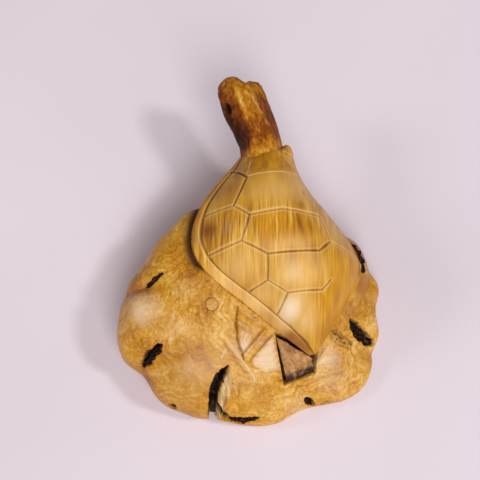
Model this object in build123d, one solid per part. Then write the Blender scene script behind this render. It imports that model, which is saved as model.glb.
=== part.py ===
from build123d import *
import os
from math import atan2, cos, degrees, exp, hypot, radians, sin

# A carved wooden turtle lying on the burl it was cut from, head towards +Y.
# Millimetres. The origin is the middle of the sawn underside and +Z is up.

# Burl: plan reach, the height of its widest line and the fullness of its shoulder
BURL_RADIUS = 53.0
BURL_LOBES = [
    # direction in degrees, extra reach, breadth in degrees
    (14, 13.0, 11),
    (36, 12.5, 14),
    (122, 6.5, 14),
    (146, 4.0, 13),
    (170, 7.5, 13),
    (194, 14.0, 17),
    (223, 7.5, 13),
    (240, 3.0, 8),
    (298, -2.0, 10),
    (331, 11.5, 16),
    (355, 10.0, 10),
]
BULGE_HEIGHT = 18.0
BULGE_LEAN = 0.736
BULGE_HIGH_SIDE = 130.0
UNDERCUT = 0.5
SHOULDER = 2.7
SHOULDER_SWING = 0.5
SHOULDER_FULL_SIDE = 150.0
SHOULDER_ROUND = 0.6
CROWN = 2.5
CROWN_X = 12.0
CROWN_Y = 14.0
CROWN_RADIUS = 10.0
UNDER_TURNS = (0, 45, 90)
OVER_SHARES = (0.96, 0.86, 0.70, 0.46)
RING_ARCS = 8
ARC_SPANS = 5
LEAD_TURN = 0.5

# Seat of the shell: where the tail tip lies and how the seat leans
TAIL_X = 29.0
TAIL_Y = -22.0
TAIL_Z = 26.0
SHELL_YAW = 11.7
SHELL_PITCH = 8.9
SHELL_ROLL = 12.0

# Shell: sections along its axis, from the tail to the collar
SHELL_SECTIONS = [
    # distance from the tail, sideways shift, half width, dome height, width of the left rim band
    (0.0, 0.0, 2.5, 3.0, 5.5),
    (10.0, 0.5, 12.0, 9.0, 5.5),
    (20.0, 0.8, 21.0, 15.5, 5.5),
    (30.0, 1.2, 29.5, 21.0, 5.5),
    (40.0, -0.8, 36.0, 25.0, 5.2),
    (50.0, -5.4, 38.4, 27.0, 4.4),
    (60.0, -9.6, 37.4, 27.5, 3.2),
    (70.0, -11.8, 34.4, 26.5, 2.2),
    (80.0, -12.0, 28.6, 24.0, 1.8),
    (90.0, -9.2, 21.0, 20.0, 1.6),
    (101.0, -3.0, 13.5, 15.0, 1.0),
]
RIM_RIGHT = 1.5
RIM_THICKNESS = 3.5
DOME_FOOT = 30.0
SEAT_GAP = 0.6

# Scutes: corners on the seat as sideways place and distance from the tail, and the lines that join them
SCUTE_GROOVE = 1.1
SCUTE_DEPTH = 0.9
SCUTE_CORNERS = {
    "collar_left": (-19.0, 88.5),
    "collar_middle": (-7.0, 88.2),
    "collar_right": (9.5, 87.0),
    "collar_rim": (-26.0, 91.5),
    "first_left": (-29.0, 75.3),
    "first_rim": (-42.0, 76.0),
    "first_right": (15.5, 73.0),
    "first_right_rim": (26.0, 75.0),
    "second_left": (-23.6, 69.2),
    "second_middle": (-7.5, 68.9),
    "second_right": (10.2, 64.8),
    "second_cheek": (-29.2, 57.6),
    "second_rim": (-46.0, 55.0),
    "third_left": (-18.6, 48.5),
    "third_middle": (5.2, 46.2),
    "third_right": (12.7, 48.8),
    "third_right_rim": (40.0, 36.5),
    "third_cheek": (-20.2, 35.7),
    "third_rim": (-31.0, 32.5),
    "fourth_left": (-11.0, 29.4),
    "fourth_middle": (5.7, 28.7),
    "fourth_right": (10.3, 32.1),
    "fourth_right_rim": (33.0, 27.5),
    "fourth_rim": (-17.0, 18.5),
    "fourth_tail": (17.5, 15.0),
}
SCUTE_LINES = [
    ("collar_rim", "collar_left", "collar_middle", "collar_right"),
    ("collar_left", "first_left", "second_left", "second_middle", "second_right"),
    ("first_left", "first_rim"),
    ("collar_right", "first_right", "second_right"),
    ("first_right", "first_right_rim"),
    ("second_left", "second_cheek", "second_rim"),
    ("second_cheek", "third_left", "third_middle", "third_right", "second_right"),
    ("third_right", "third_right_rim"),
    ("third_left", "third_cheek", "third_rim"),
    ("third_cheek", "fourth_left", "fourth_middle", "fourth_right", "third_right"),
    ("fourth_right", "fourth_right_rim"),
    ("fourth_left", "fourth_rim"),
    ("fourth_middle", "fourth_tail"),
]

# Chest: the wood under the shell's front, as shares of the shell's width, and its depth
CHEST_SHARE = 0.8
CHEST_DEPTHS = [(40.0, 22.0), (60.0, 20.0), (80.0, 15.0), (101.0, 9.0)]

# Head and neck: carved planes, with the shape of the section at the collar and at stations after it
NECK_RISE = 4.0
NECK_SHIFT = -1.5
NECK_HALF_WIDTH = 10.2
NECK_FLAT_TOP = 5.5
NECK_TOP = 10.0
NECK_UNDER = 10.0
NECK_ROOT = 5.0
HEAD_STATIONS = [
    # x, y, z, half width, half width of the flat top, rise of the top, drop of the underside
    (3.2, 82.5, 48.3, 10.1, 5.0, 9.6, 9.2),
    (0.5, 89.4, 50.3, 10.6, 4.4, 9.3, 8.6),
    (-2.7, 97.4, 52.0, 11.1, 3.6, 9.0, 8.0),
    (-4.9, 104.5, 53.0, 10.8, 3.2, 8.6, 7.5),
    (-6.2, 109.5, 53.3, 9.8, 3.0, 7.4, 6.8),
    (-6.9, 112.0, 53.2, 7.4, 2.4, 5.4, 5.2),
    (-7.1, 112.9, 53.1, 4.0, 1.3, 2.8, 2.8),
]
CHEEK_SHARE = 0.15
JAW_SHARE = 0.6
EDGE_SHARE = 0.15
EYE_STATION = 2
EYE_DIAMETER = 2.8
EYE_LENGTH = 6.5
EYE_OUT = 7.6
EYE_RISE = 4.8
TENON_DIAMETER = 7.0
TENON_LENGTH = 12.0
TENON_RISE = 6.2

# Dowels
PEG_DIAMETER = 6.0
PEG_LENGTH = 18.0
PEG_SPOTS = [(-3.0, 36.0), (-9.0, 70.0)]
PLUG_DIAMETER = 6.0
PLUG_DEPTH = 12.0
PLUG_X = -19.4
PLUG_Y = -1.0
FIT_GAP = 0.1

# Wedge under the tail: two corners of its notch set off from the tail tip, two set in from the burl's rim
WEDGE_BACK = [(-17.6, 8.9), (0.6, -1.1)]
WEDGE_FRONT = [(316.3, 15.5), (294.1, 12.4)]
WEDGE_GAP = 0.8
WEDGE_FLOOR = 9.0
WEDGE_DROP = 3.0
WEDGE_PROUD = 1.0

# Bark pockets in the top of the burl
BARK_POCKETS = {
    # direction in degrees, distance in from the rim, length, width, turn in degrees, depth, bark thickness
    "bark_left_slit": (167.7, 12.6, 9.5, 3.6, 38.0, 7.0, 4.5),
    "bark_left_pocket": (207.4, 7.9, 11.5, 4.4, 36.0, 9.0, 6.0),
    "bark_left_pit": (229.1, 2.3, 4.0, 2.6, 60.0, 6.0, 4.0),
    "bark_front_pit": (304.7, 4.1, 4.6, 3.8, 70.0, 6.0, 4.0),
    "bark_right_pocket": (353.0, 9.3, 15.0, 5.0, -38.0, 8.0, 5.0),
    "bark_rim_crack": (268.3, 4.6, 15.0, 2.6, 3.0, 8.0, 5.0),
}
BARK_GAP = 0.15

# Cleft open at the front rim: directions of its tip and mouth, how far in the tip lies, widths and floor
CLEFT_TIP_SIDE = 248.2
CLEFT_MOUTH_SIDE = 254.4
CLEFT_LENGTH = 22.7
CLEFT_PAST_RIM = 5.0
CLEFT_TIP_WIDTH = 2.0
CLEFT_MOUTH_WIDTH = 7.5
CLEFT_FLOOR = 5.0
CLEFT_BARK = 6.0

# Rear flippers: corners in plan and how far they stand proud of the burl
FLIPPER_PROUD = 1.5
LEFT_FLIPPER = [(-7.9, -0.7), (-8.9, -8.1), (-6.5, -20.0), (-4.6, -25.3), (8.0, -11.0)]
RIGHT_FLIPPER = [(36.0, -12.0), (37.3, -8.6), (49.1, -15.6), (41.8, -22.0), (32.1, -24.3)]

# Strip of bark beside the shell's right rim
STRIP_START = 40.0
STRIP_END = 50.0
STRIP_UNDER = 4.0
STRIP_OUT = 1.5
STRIP_DEPTH = 16.0

SHELL_LENGTH = SHELL_SECTIONS[-1][0]
TALL = BULGE_HEIGHT + TAIL_Z + SHELL_LENGTH


def shell_seat():
    """Plane under the shell: x to the turtle's right, y along the shell to its collar, z outwards."""
    yaw, pitch, roll = radians(SHELL_YAW), radians(SHELL_PITCH), radians(SHELL_ROLL)
    along = Vector(-sin(yaw) * cos(pitch), cos(yaw) * cos(pitch), sin(pitch))
    level = along.cross(Vector(0, 0, 1)).normalized()
    upright = level.cross(along)
    across = level * cos(roll) - upright * sin(roll)
    return Plane(origin=(TAIL_X, TAIL_Y, TAIL_Z), x_dir=across, z_dir=across.cross(along))


SEAT = shell_seat()


def seat_height(x, y):
    """Height of the shell's seat plane over a point of the plan."""
    out = SEAT.z_dir
    return TAIL_Z - (out.X * (x - TAIL_X) + out.Y * (y - TAIL_Y)) / out.Z


def angle_between(angle, direction):
    return (angle - direction + 180) % 360 - 180


def burl_radius(angle):
    """Plan reach of the burl: a round lump plus a bell-shaped bump for each lobe."""
    return BURL_RADIUS + sum(
        reach * exp(-(angle_between(angle, direction) / breadth) ** 2)
        for direction, reach, breadth in BURL_LOBES
    )


def rim_place(angle, inset):
    """Point of the plan that lies inset from the burl's rim."""
    reach = burl_radius(angle) - inset
    return Vector(reach * cos(radians(angle)), reach * sin(radians(angle)))


def bulge_height(angle):
    """Height of the burl's widest line, in a plane that leans by a share of that height."""
    share = burl_radius(angle) / BURL_RADIUS * cos(radians(angle - BULGE_HIGH_SIDE))
    return BULGE_HEIGHT * (1 + BULGE_LEAN * share)


def burl_top(x, y, proud=0.0):
    """Height of the burl's upper side, which falls from the crown to the bulge line at the rim."""
    angle = degrees(atan2(y, x))
    share = min(hypot(x, y) / burl_radius(angle), 1.0)
    fullness = SHOULDER + SHOULDER_SWING * cos(radians(angle - SHOULDER_FULL_SIDE))
    low = bulge_height(angle)
    high = seat_height(x, y) + CROWN + proud
    return low + (high - low) * (1 - share ** fullness) ** SHOULDER_ROUND


def burl_form(proud=0.0):
    """The whole lump: one loft from the sawn underside to the bulge and one from there to the crown."""

    def ring(place):
        step = 360.0 / RING_ARCS
        arcs = []
        for start in (step * i for i in range(RING_ARCS)):
            points = [place(start + step * j / ARC_SPANS) for j in range(ARC_SPANS + 1)]
            leads = [place(end + LEAD_TURN) - place(end - LEAD_TURN) for end in (start, start + step)]
            arcs.append(Edge.make_spline(points, tangents=leads))
        return Wire(arcs)

    def under(turn):
        def place(angle):
            low = bulge_height(angle)
            reach = burl_radius(angle) - UNDERCUT * low * (1 - sin(radians(turn)))
            height = low * (1 - cos(radians(turn)))
            return Vector(reach * cos(radians(angle)), reach * sin(radians(angle)), height)
        return place

    def over(share):
        def place(angle):
            x = CROWN_X + share * (burl_radius(angle) * cos(radians(angle)) - CROWN_X)
            y = CROWN_Y + share * (burl_radius(angle) * sin(radians(angle)) - CROWN_Y)
            return Vector(x, y, burl_top(x, y, proud))
        return place

    def crown(angle):
        x = CROWN_X + CROWN_RADIUS * cos(radians(angle))
        y = CROWN_Y + CROWN_RADIUS * sin(radians(angle))
        return Vector(x, y, seat_height(x, y) + CROWN + proud)

    foot = Solid.make_loft([ring(under(turn)) for turn in UNDER_TURNS])
    cap = Solid.make_loft([ring(under(90))] + [ring(over(share)) for share in OVER_SHARES] + [ring(crown)])
    return Part() + foot + cap


def shell_outline(extra=0.0):
    """Teardrop outline of the shell on its seat, widened all round by extra."""
    left = [(shift - half - extra, place) for place, shift, half, _, _ in SHELL_SECTIONS]
    right = [(shift + half + extra, place) for place, shift, half, _, _ in SHELL_SECTIONS]
    left[0] = (left[0][0], left[0][1] - extra)
    right[0] = (right[0][0], right[0][1] - extra)
    left[-1] = (left[-1][0], left[-1][1] + extra)
    right[-1] = (right[-1][0], right[-1][1] + extra)
    ends = [Line(left[-1], right[-1]), Line(right[0], left[0])]
    return SEAT * make_face(Curve() + [Spline(*left), Spline(*right)] + ends)


def oval_cap(shift, place, half_width, height, foot=0.0):
    """Cap of an oval across the shell's axis, cut off at the foot angle; it hangs if height is negative."""
    reach = half_width / cos(radians(foot))
    rise = abs(height) / (1 - sin(radians(foot)))
    middle = (0, -rise * sin(radians(foot)))
    arc = EllipticalCenterArc(middle, reach, rise, start_angle=foot, arc_size=180 - 2 * foot)
    face = make_face(Curve() + [arc, Line((-half_width, 0), (half_width, 0))])
    tilt = 90 if height > 0 else -90
    return SEAT.location * Location((shift, place, 0), (tilt, 0, 0)) * face


def seat_cylinder(spot, diameter, low, high):
    """Round bar square to the seat, from low to high above it."""
    bar = Cylinder(diameter / 2, high - low, align=(Align.CENTER, Align.CENTER, Align.MIN))
    return SEAT.location * Location((spot[0], spot[1], low)) * bar


def shell_dome(drop=0.0):
    """Dome inside the rim band, or the same dome with drop taken off all over."""
    sections = []
    for place, shift, half, height, left in SHELL_SECTIONS[1:]:
        middle = shift + (left - RIM_RIGHT) / 2
        width = half - (left + RIM_RIGHT) / 2 - drop
        sections.append(oval_cap(middle, place, width, height - drop, DOME_FOOT))
    return loft(sections)


def scute_web():
    """Thin upright walls along the scute lines, as deep as the whole shell."""
    strips = Sketch()
    for names in SCUTE_LINES:
        for first, second in zip(names, names[1:]):
            start, end = Vector(*SCUTE_CORNERS[first]), Vector(*SCUTE_CORNERS[second])
            run = end - start
            bar = SlotCenterToCenter(run.length, SCUTE_GROOVE)
            strips += Pos((start + end) / 2) * Rot(0, 0, degrees(atan2(run.Y, run.X))) * bar
    return extrude(SEAT * strips, TALL, dir=SEAT.z_dir)


def carapace():
    """Rim plate and scute-carved dome, with bores for the pegs and for the neck's tenon."""
    dome = shell_dome() - (scute_web() - shell_dome(SCUTE_DEPTH))
    shell = extrude(shell_outline(), RIM_THICKNESS, dir=SEAT.z_dir) + dome
    for spot in PEG_SPOTS:
        shell -= seat_cylinder(spot, PEG_DIAMETER + 2 * FIT_GAP, 0, PEG_LENGTH / 2 + FIT_GAP)
    return shell - tenon(FIT_GAP)


def collar_location(rise):
    """Place on the shell's front face, rise above the seat, with its z along the neck."""
    shift = SHELL_SECTIONS[-1][1] + NECK_SHIFT
    return SEAT.location * Location((shift, SHELL_LENGTH, rise), (-90, 0, 0))


def tenon(gap=0.0):
    """Round tenon of the neck, which reaches back into the shell's front."""
    behind = (Align.CENTER, Align.CENTER, Align.MAX)
    bar = Cylinder(TENON_DIAMETER / 2 + gap, TENON_LENGTH + gap, align=behind)
    return collar_location(TENON_RISE) * bar


def carved_section(half_width, flat_top, top, under):
    """Eight-sided section with softened corners: flat top, sloping planes, cheeks, jaw and underside."""
    cheek, jaw = CHEEK_SHARE * top, JAW_SHARE * half_width
    right = [(flat_top, top), (half_width, cheek), (half_width, -cheek), (jaw, -under)]
    left = [(-x, y) for x, y in right[::-1]]
    face = make_face(Polyline(*right, *left, close=True))
    return fillet(face.vertices(), EDGE_SHARE * half_width)


def eye_hollow():
    """Round-ended bar along the head."""
    run = EYE_LENGTH - EYE_DIAMETER
    ends = [Pos(0, 0, end) * Sphere(EYE_DIAMETER / 2) for end in (-run / 2, run / 2)]
    return Cylinder(EYE_DIAMETER / 2, run) + ends


def head_and_neck():
    """Carved sections from the shell's front along the neck to the snout, with a hollow for each eye."""
    base = Rot(0, 0, 180) * carved_section(NECK_HALF_WIDTH, NECK_FLAT_TOP, NECK_TOP, NECK_UNDER)
    collar = collar_location(NECK_RISE)
    sections = [collar * Pos(0, 0, -NECK_ROOT) * base, collar * base]
    middles = [collar.position] + [Vector(*station[:3]) for station in HEAD_STATIONS]
    eyes = []
    for i, (x, y, z, *shape) in enumerate(HEAD_STATIONS, start=1):
        ahead = middles[min(i + 1, len(middles) - 1)] - middles[i - 1]
        frame = Plane(origin=(x, y, z), x_dir=Vector(0, 0, 1).cross(ahead), z_dir=ahead)
        sections.append(frame * carved_section(*shape))
        if i - 1 == EYE_STATION:
            eyes = [frame * Pos(side * EYE_OUT, EYE_RISE, 0) * eye_hollow() for side in (-1, 1)]
    neck = split(loft(sections), Plane(collar), keep=Keep.TOP)
    return neck + tenon() - eyes


def upright_prism(corners, low, high):
    """Prism on a plan outline, from height low to height high."""
    return Pos(0, 0, low) * extrude(make_face(Polyline(*corners, close=True)), high - low)


def chest():
    """Wood under the shell's front half, hanging below the seat."""
    sections = []
    for place, depth in CHEST_DEPTHS:
        _, shift, half, _, _ = min(SHELL_SECTIONS, key=lambda section: abs(section[0] - place))
        sections.append(oval_cap(shift, place, half * CHEST_SHARE, -depth))
    return loft(sections)


def cleft_corners(gap=0.0):
    """Plan of the cleft, narrow at its tip and wide where it opens at the rim."""
    tip, mouth = rim_place(CLEFT_TIP_SIDE, CLEFT_LENGTH), rim_place(CLEFT_MOUTH_SIDE, -CLEFT_PAST_RIM)
    along = (mouth - tip).normalized()
    across = Vector(-along.Y, along.X)
    near, far = CLEFT_TIP_WIDTH / 2 - gap, CLEFT_MOUTH_WIDTH / 2 - gap
    start = tip + along * gap
    corners = [start - across * near, mouth - across * far, mouth + across * far, start + across * near]
    return [(corner.X, corner.Y) for corner in corners]


def cleft_bark():
    """Bark on the cleft's floor, clear of its walls."""
    return upright_prism(cleft_corners(BARK_GAP), CLEFT_FLOOR, CLEFT_FLOOR + CLEFT_BARK)


def pocket(name, gap=0.0):
    """Round-ended slot for one bark pocket, and the height of its floor."""
    direction, inset, length, width, turn, depth, _ = BARK_POCKETS[name]
    middle = rim_place(direction, inset)
    slot = Pos(middle) * Rot(0, 0, turn) * SlotOverall(length - 2 * gap, width - 2 * gap)
    return slot, burl_top(middle.X, middle.Y) - depth


def bark_filling(name):
    """Bark in one pocket, clear of its walls."""
    slot, floor = pocket(name, BARK_GAP)
    return Pos(0, 0, floor) * extrude(slot, BARK_POCKETS[name][-1])


def wedge_corners():
    """Corners of the wedge's notch: at the tail left and right, then at the front right and left."""
    back = [Vector(TAIL_X + x, TAIL_Y + y) for x, y in WEDGE_BACK]
    return back + [rim_place(direction, inset) for direction, inset in WEDGE_FRONT]


def wedge_inset(gap):
    """Plan of the notch, drawn in by gap."""
    face = make_face(Polyline(*wedge_corners(), close=True))
    return offset(face, -gap, kind=Kind.INTERSECTION) if gap else face


def tail_wedge():
    """Wedge standing on the floor of its notch, with a top that slopes from under the rim to the front."""
    body = Pos(0, 0, WEDGE_FLOOR) * extrude(wedge_inset(WEDGE_GAP), TALL)
    *back, front_right, front_left = wedge_corners()
    rim_side = [Vector(at.X, at.Y, seat_height(at.X, at.Y) - WEDGE_DROP) for at in back]
    front = (front_right + front_left) / 2
    front = Vector(front.X, front.Y, burl_top(front.X, front.Y) + WEDGE_PROUD)
    up = (rim_side[1] - rim_side[0]).cross(front - rim_side[0])
    if up.Z < 0:
        up = up * -1
    return split(body, Plane(origin=front, z_dir=up), keep=Keep.BOTTOM)


def bark_strip():
    """Bark left between the shell's right rim and the burl below it, a little proud of the rim."""
    inner, outer = [], []
    for place, shift, half, _, _ in SHELL_SECTIONS:
        if STRIP_START <= place <= STRIP_END:
            inner.append((shift + half - STRIP_UNDER, place))
            outer.append((shift + half + STRIP_OUT, place))
    face = SEAT * make_face(Polyline(*inner, *outer[::-1], close=True))
    return extrude(face, -STRIP_DEPTH, dir=SEAT.z_dir)


def burl_base(form):
    """The burl with chest and flippers, cut for the shell, the wedge, the plug, the cleft and the bark."""
    raised = burl_form(FLIPPER_PROUD)
    burl = form + chest()
    for corners in (LEFT_FLIPPER, RIGHT_FLIPPER):
        burl += raised & upright_prism(corners, 0, TALL)
    burl -= extrude(shell_outline(SEAT_GAP), TALL, dir=SEAT.z_dir)
    for spot in PEG_SPOTS:
        burl -= seat_cylinder(spot, PEG_DIAMETER + 2 * FIT_GAP, -PEG_LENGTH / 2 - FIT_GAP, 0)
    burl -= plug_bar(FIT_GAP)
    burl -= Pos(0, 0, WEDGE_FLOOR) * extrude(wedge_inset(0), TALL)
    burl -= upright_prism(cleft_corners(), CLEFT_FLOOR, TALL)
    for name in BARK_POCKETS:
        slot, floor = pocket(name)
        burl -= Pos(0, 0, floor) * extrude(slot, TALL)
    return burl


def plug_bar(gap=0.0):
    """Bar for the plug, along the seat's normal, through the burl's top."""
    bar = Cylinder(PLUG_DIAMETER / 2 + gap, 2 * PLUG_DEPTH, align=(Align.CENTER, Align.CENTER, Align.MIN))
    bottom = Vector(PLUG_X, PLUG_Y, burl_top(PLUG_X, PLUG_Y)) - SEAT.z_dir * PLUG_DEPTH
    return Plane(origin=bottom, z_dir=SEAT.z_dir) * bar


FORM = burl_form()
nodes = {
    "burl_base": burl_base(FORM),
    "carapace": carapace(),
    "head_and_neck": head_and_neck(),
    "carapace_pegs": Compound(
        [seat_cylinder(spot, PEG_DIAMETER, -PEG_LENGTH / 2, PEG_LENGTH / 2) for spot in PEG_SPOTS]
    ),
    "repair_plug": plug_bar() & FORM,
    "tail_wedge": tail_wedge(),
    "bark_cleft_lining": cleft_bark() & FORM,
    "bark_right_strip": bark_strip() - FORM,
}
nodes.update({name: bark_filling(name) for name in BARK_POCKETS})

os.makedirs("parts", exist_ok=True)
for name, solid in nodes.items():
    export_step(solid, f"parts/{name}.step")
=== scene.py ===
import bpy
import numpy as np
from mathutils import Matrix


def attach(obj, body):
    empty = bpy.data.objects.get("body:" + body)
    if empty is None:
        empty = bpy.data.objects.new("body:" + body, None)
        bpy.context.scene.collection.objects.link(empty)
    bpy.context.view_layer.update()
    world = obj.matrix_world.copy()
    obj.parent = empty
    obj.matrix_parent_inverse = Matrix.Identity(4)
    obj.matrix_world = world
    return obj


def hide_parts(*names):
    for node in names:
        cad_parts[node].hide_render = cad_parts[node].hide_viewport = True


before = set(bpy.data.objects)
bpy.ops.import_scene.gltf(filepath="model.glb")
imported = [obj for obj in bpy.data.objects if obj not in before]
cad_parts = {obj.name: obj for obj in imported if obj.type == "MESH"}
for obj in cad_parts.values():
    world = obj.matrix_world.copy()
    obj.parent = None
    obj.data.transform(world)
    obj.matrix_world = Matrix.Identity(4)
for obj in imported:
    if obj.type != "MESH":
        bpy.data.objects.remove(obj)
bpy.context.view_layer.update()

# Burl. A knotty lump of golden burl wood, sawn flat below, ground round above and rubbed with wax.
# Both rear flippers are carved into it, the shell sits on it, and ragged bark pockets, a cleft at
# the rim and a notch under the tail go into it.

BURL_RADIUS = 53.0
BURL_LOBES = [
    # direction in degrees, extra reach in mm, breadth in degrees
    (14, 13.0, 11), (36, 12.5, 14), (122, 6.5, 14), (146, 4.0, 13), (170, 7.5, 13), (194, 14.0, 17),
    (223, 7.5, 13), (240, 3.0, 8), (298, -2.0, 10), (331, 11.5, 16), (355, 10.0, 10),
]
BULGE_HEIGHT = 18.0
BULGE_LEAN = 0.736
BULGE_HIGH_SIDE = 130.0
UNDERCUT = 0.5
SHOULDER = 2.7
SHOULDER_SWING = 0.5
SHOULDER_FULL_SIDE = 150.0
SHOULDER_ROUND = 0.6
CROWN = 2.5
CROWN_CENTRE = np.array([12.0, 14.0])
FRONT_SIDE = 255.0
FRONT_CROWD = 25.0
ROW_CROWD = 1.25
BURL_COLUMNS = 700
HIDDEN_ROWS, TOP_ROWS, UNDER_ROWS = 8, 104, 20
RIM_ROW = HIDDEN_ROWS + TOP_ROWS
ROWS_PAST_RIM = 8
SOLE_SHARES = np.linspace(0.95, 0.03, 5)[:, None, None]
TAIL = np.array([29.0, -22.0, 26.0])
SHELL_YAW, SHELL_PITCH, SHELL_ROLL = np.radians([11.7, 8.9, 12.0])
SHELL_LENGTH = 101.0
SHELL_PLACES = [0, 10, 20, 30, 40, 50, 60, 70, 80, 90, 101]
SHELL_SHIFT = [0, 0.5, 0.8, 1.0, -1.3, -6.1, -10.2, -11.9, -11.9, -8.7, -2.4]
SHELL_HALF = [1.6, 12, 21, 29.7, 36.5, 39.1, 38.0, 34.5, 28.9, 22.1, 14.5]

ALONG = np.array([
    -np.sin(SHELL_YAW) * np.cos(SHELL_PITCH), np.cos(SHELL_YAW) * np.cos(SHELL_PITCH), np.sin(SHELL_PITCH),
])
LEVEL = np.cross(ALONG, [0, 0, 1]) / np.linalg.norm(np.cross(ALONG, [0, 0, 1]))
ACROSS = LEVEL * np.cos(SHELL_ROLL) - np.cross(LEVEL, ALONG) * np.sin(SHELL_ROLL)
OUT = np.cross(ACROSS, ALONG)


def from_seat(across, along, rise):
    """Points in mm from their places on the shell's seat: across it, along it from the tail, above it."""
    return TAIL + across[..., None] * ACROSS + along[..., None] * ALONG + rise[..., None] * OUT


def on_seat(points):
    """Places on the shell's seat, the other way round from from_seat."""
    return (points - TAIL) @ ACROSS, (points - TAIL) @ ALONG, (points - TAIL) @ OUT


def seat_height(x, y):
    """Height of the shell's seat, a leaning plane, over a place in plan."""
    return TAIL[2] - (OUT[0] * (x - TAIL[0]) + OUT[1] * (y - TAIL[1])) / OUT[2]


def through(places, values, at):
    """Smooth curve through values at their places: cubic runs, each end's slope its neighbours' mean."""
    places, values = np.asarray(places, float), np.asarray(values, float)
    slopes = np.gradient(values, places)
    i = np.clip(np.searchsorted(places, at) - 1, 0, len(places) - 2)
    span = places[i + 1] - places[i]
    t = np.clip((at - places[i]) / span, 0, 1)
    start = (1 + 2 * t) * (1 - t) ** 2 * values[i] + t * (1 - t) ** 2 * span * slopes[i]
    return start + t * t * (3 - 2 * t) * values[i + 1] + t * t * (t - 1) * span * slopes[i + 1]


def shell_at(place):
    """Middle and half width of the shell's outline at a place along it."""
    return through(SHELL_PLACES, SHELL_SHIFT, place), through(SHELL_PLACES, SHELL_HALF, place)


def ease(t):
    """0 below 0, 1 above 1, and a soft S between."""
    t = np.clip(t, 0, 1)
    return t * t * (3 - 2 * t)


def bell(distance, width):
    """1 at no distance, falling off on both sides as a bell."""
    return np.exp(-(distance / width) ** 2)


def unit(vectors):
    """Vectors brought to a length of 1."""
    return vectors / np.maximum(np.linalg.norm(vectors, axis=-1, keepdims=True), 1e-9)


def lumps(points, size, seed):
    """Noise from -1 to 1: a set value at each corner of a cubic lattice of that size in mm, eased."""
    place = points / size + seed * 7.31
    corner = np.floor(place).astype(np.int64)
    t = place - corner
    blend = t * t * t * (t * (t * 6 - 15) + 10)
    total = np.zeros(points.shape[:-1])
    for step in np.ndindex(2, 2, 2):
        key = (corner + step) @ np.array([73856093, 19349663, 83492791]) + seed * 374761393
        key = (key ^ (key >> 13)) * 1274126177
        value = ((key ^ (key >> 16)) & 65535) / 32767.5 - 1
        total += value * np.prod(np.where(step, blend, 1 - blend), axis=-1)
    return total


def between(path, share):
    """Points at shares, from 0 to 1, of a path of straight runs, each run an equal share."""
    knots = np.linspace(0, 1, len(path))
    return np.stack([np.interp(share, knots, values) for values in np.transpose(path)], axis=-1)


def to_path(points, path):
    """Distance of each point from a path of straight runs, and its place along the path, from 0 to 1."""
    best = np.full(points.shape[:-1], 1e9)
    where = np.zeros(points.shape[:-1])
    path = np.asarray(path, float)
    for i, (start, end) in enumerate(zip(path, path[1:])):
        run = end - start
        t = np.clip((points - start) @ run / (run @ run), 0, 1)
        distance = np.linalg.norm(points - start - t[..., None] * run, axis=-1)
        where = np.where(distance < best, (i + t) / (len(path) - 1), where)
        best = np.minimum(best, distance)
    return best, where


def inset(plan, corners):
    """Distance in from the outline of a shape in plan, below 0 outside it."""
    corners = np.asarray(corners, float)
    ring = np.vstack([corners, corners[:1]])
    inside = np.zeros(plan.shape[:-1], bool)
    for (x0, y0), (x1, y1) in zip(ring, ring[1:]):
        crosses = (y0 > plan[..., 1]) != (y1 > plan[..., 1])
        inside ^= crosses & (plan[..., 0] < x0 + (x1 - x0) * (plan[..., 1] - y0) / (y1 - y0 + 1e-9))
    return np.where(inside, 1, -1) * to_path(plan, ring)[0]


def burl_reach(angle):
    """Plan reach at an angle in degrees: a round lump plus a bell-shaped bump for each lobe."""
    reach = np.full(np.shape(angle), BURL_RADIUS)
    for direction, extra, breadth in BURL_LOBES:
        reach = reach + extra * bell(((angle - direction) + 180) % 360 - 180, breadth)
    return reach


def bulge_height(angle):
    """Height of the widest line, which lies in a leaning plane."""
    share = burl_reach(angle) / BURL_RADIUS * np.cos(np.radians(angle - BULGE_HIGH_SIDE))
    return BULGE_HEIGHT * (1 + BULGE_LEAN * share)


def burl_top(x, y):
    """Height of the upper side: from the shell's seat it falls to the bulge line at the rim."""
    angle = np.degrees(np.arctan2(y, x))
    share = np.minimum(np.hypot(x, y) / burl_reach(angle), 1.0)
    fullness = SHOULDER + SHOULDER_SWING * np.cos(np.radians(angle - SHOULDER_FULL_SIDE))
    low = bulge_height(angle)
    return low + (seat_height(x, y) + CROWN - low) * (1 - share ** fullness) ** SHOULDER_ROUND


def on_burl(path):
    """Path on the burl's upper side, from its points in plan."""
    path = np.asarray(path, float)
    return np.column_stack([path, burl_top(path[:, 0], path[:, 1])])


def shell_side(points):
    """Distance out from the shell's outline, below 0 under it; place off its middle and along it."""
    across, along, _ = on_seat(points)
    middle, half = shell_at(along)
    off_middle = across - middle
    return np.maximum.reduce([np.abs(off_middle) - half, along - SHELL_LENGTH, -along]), off_middle, along


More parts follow.
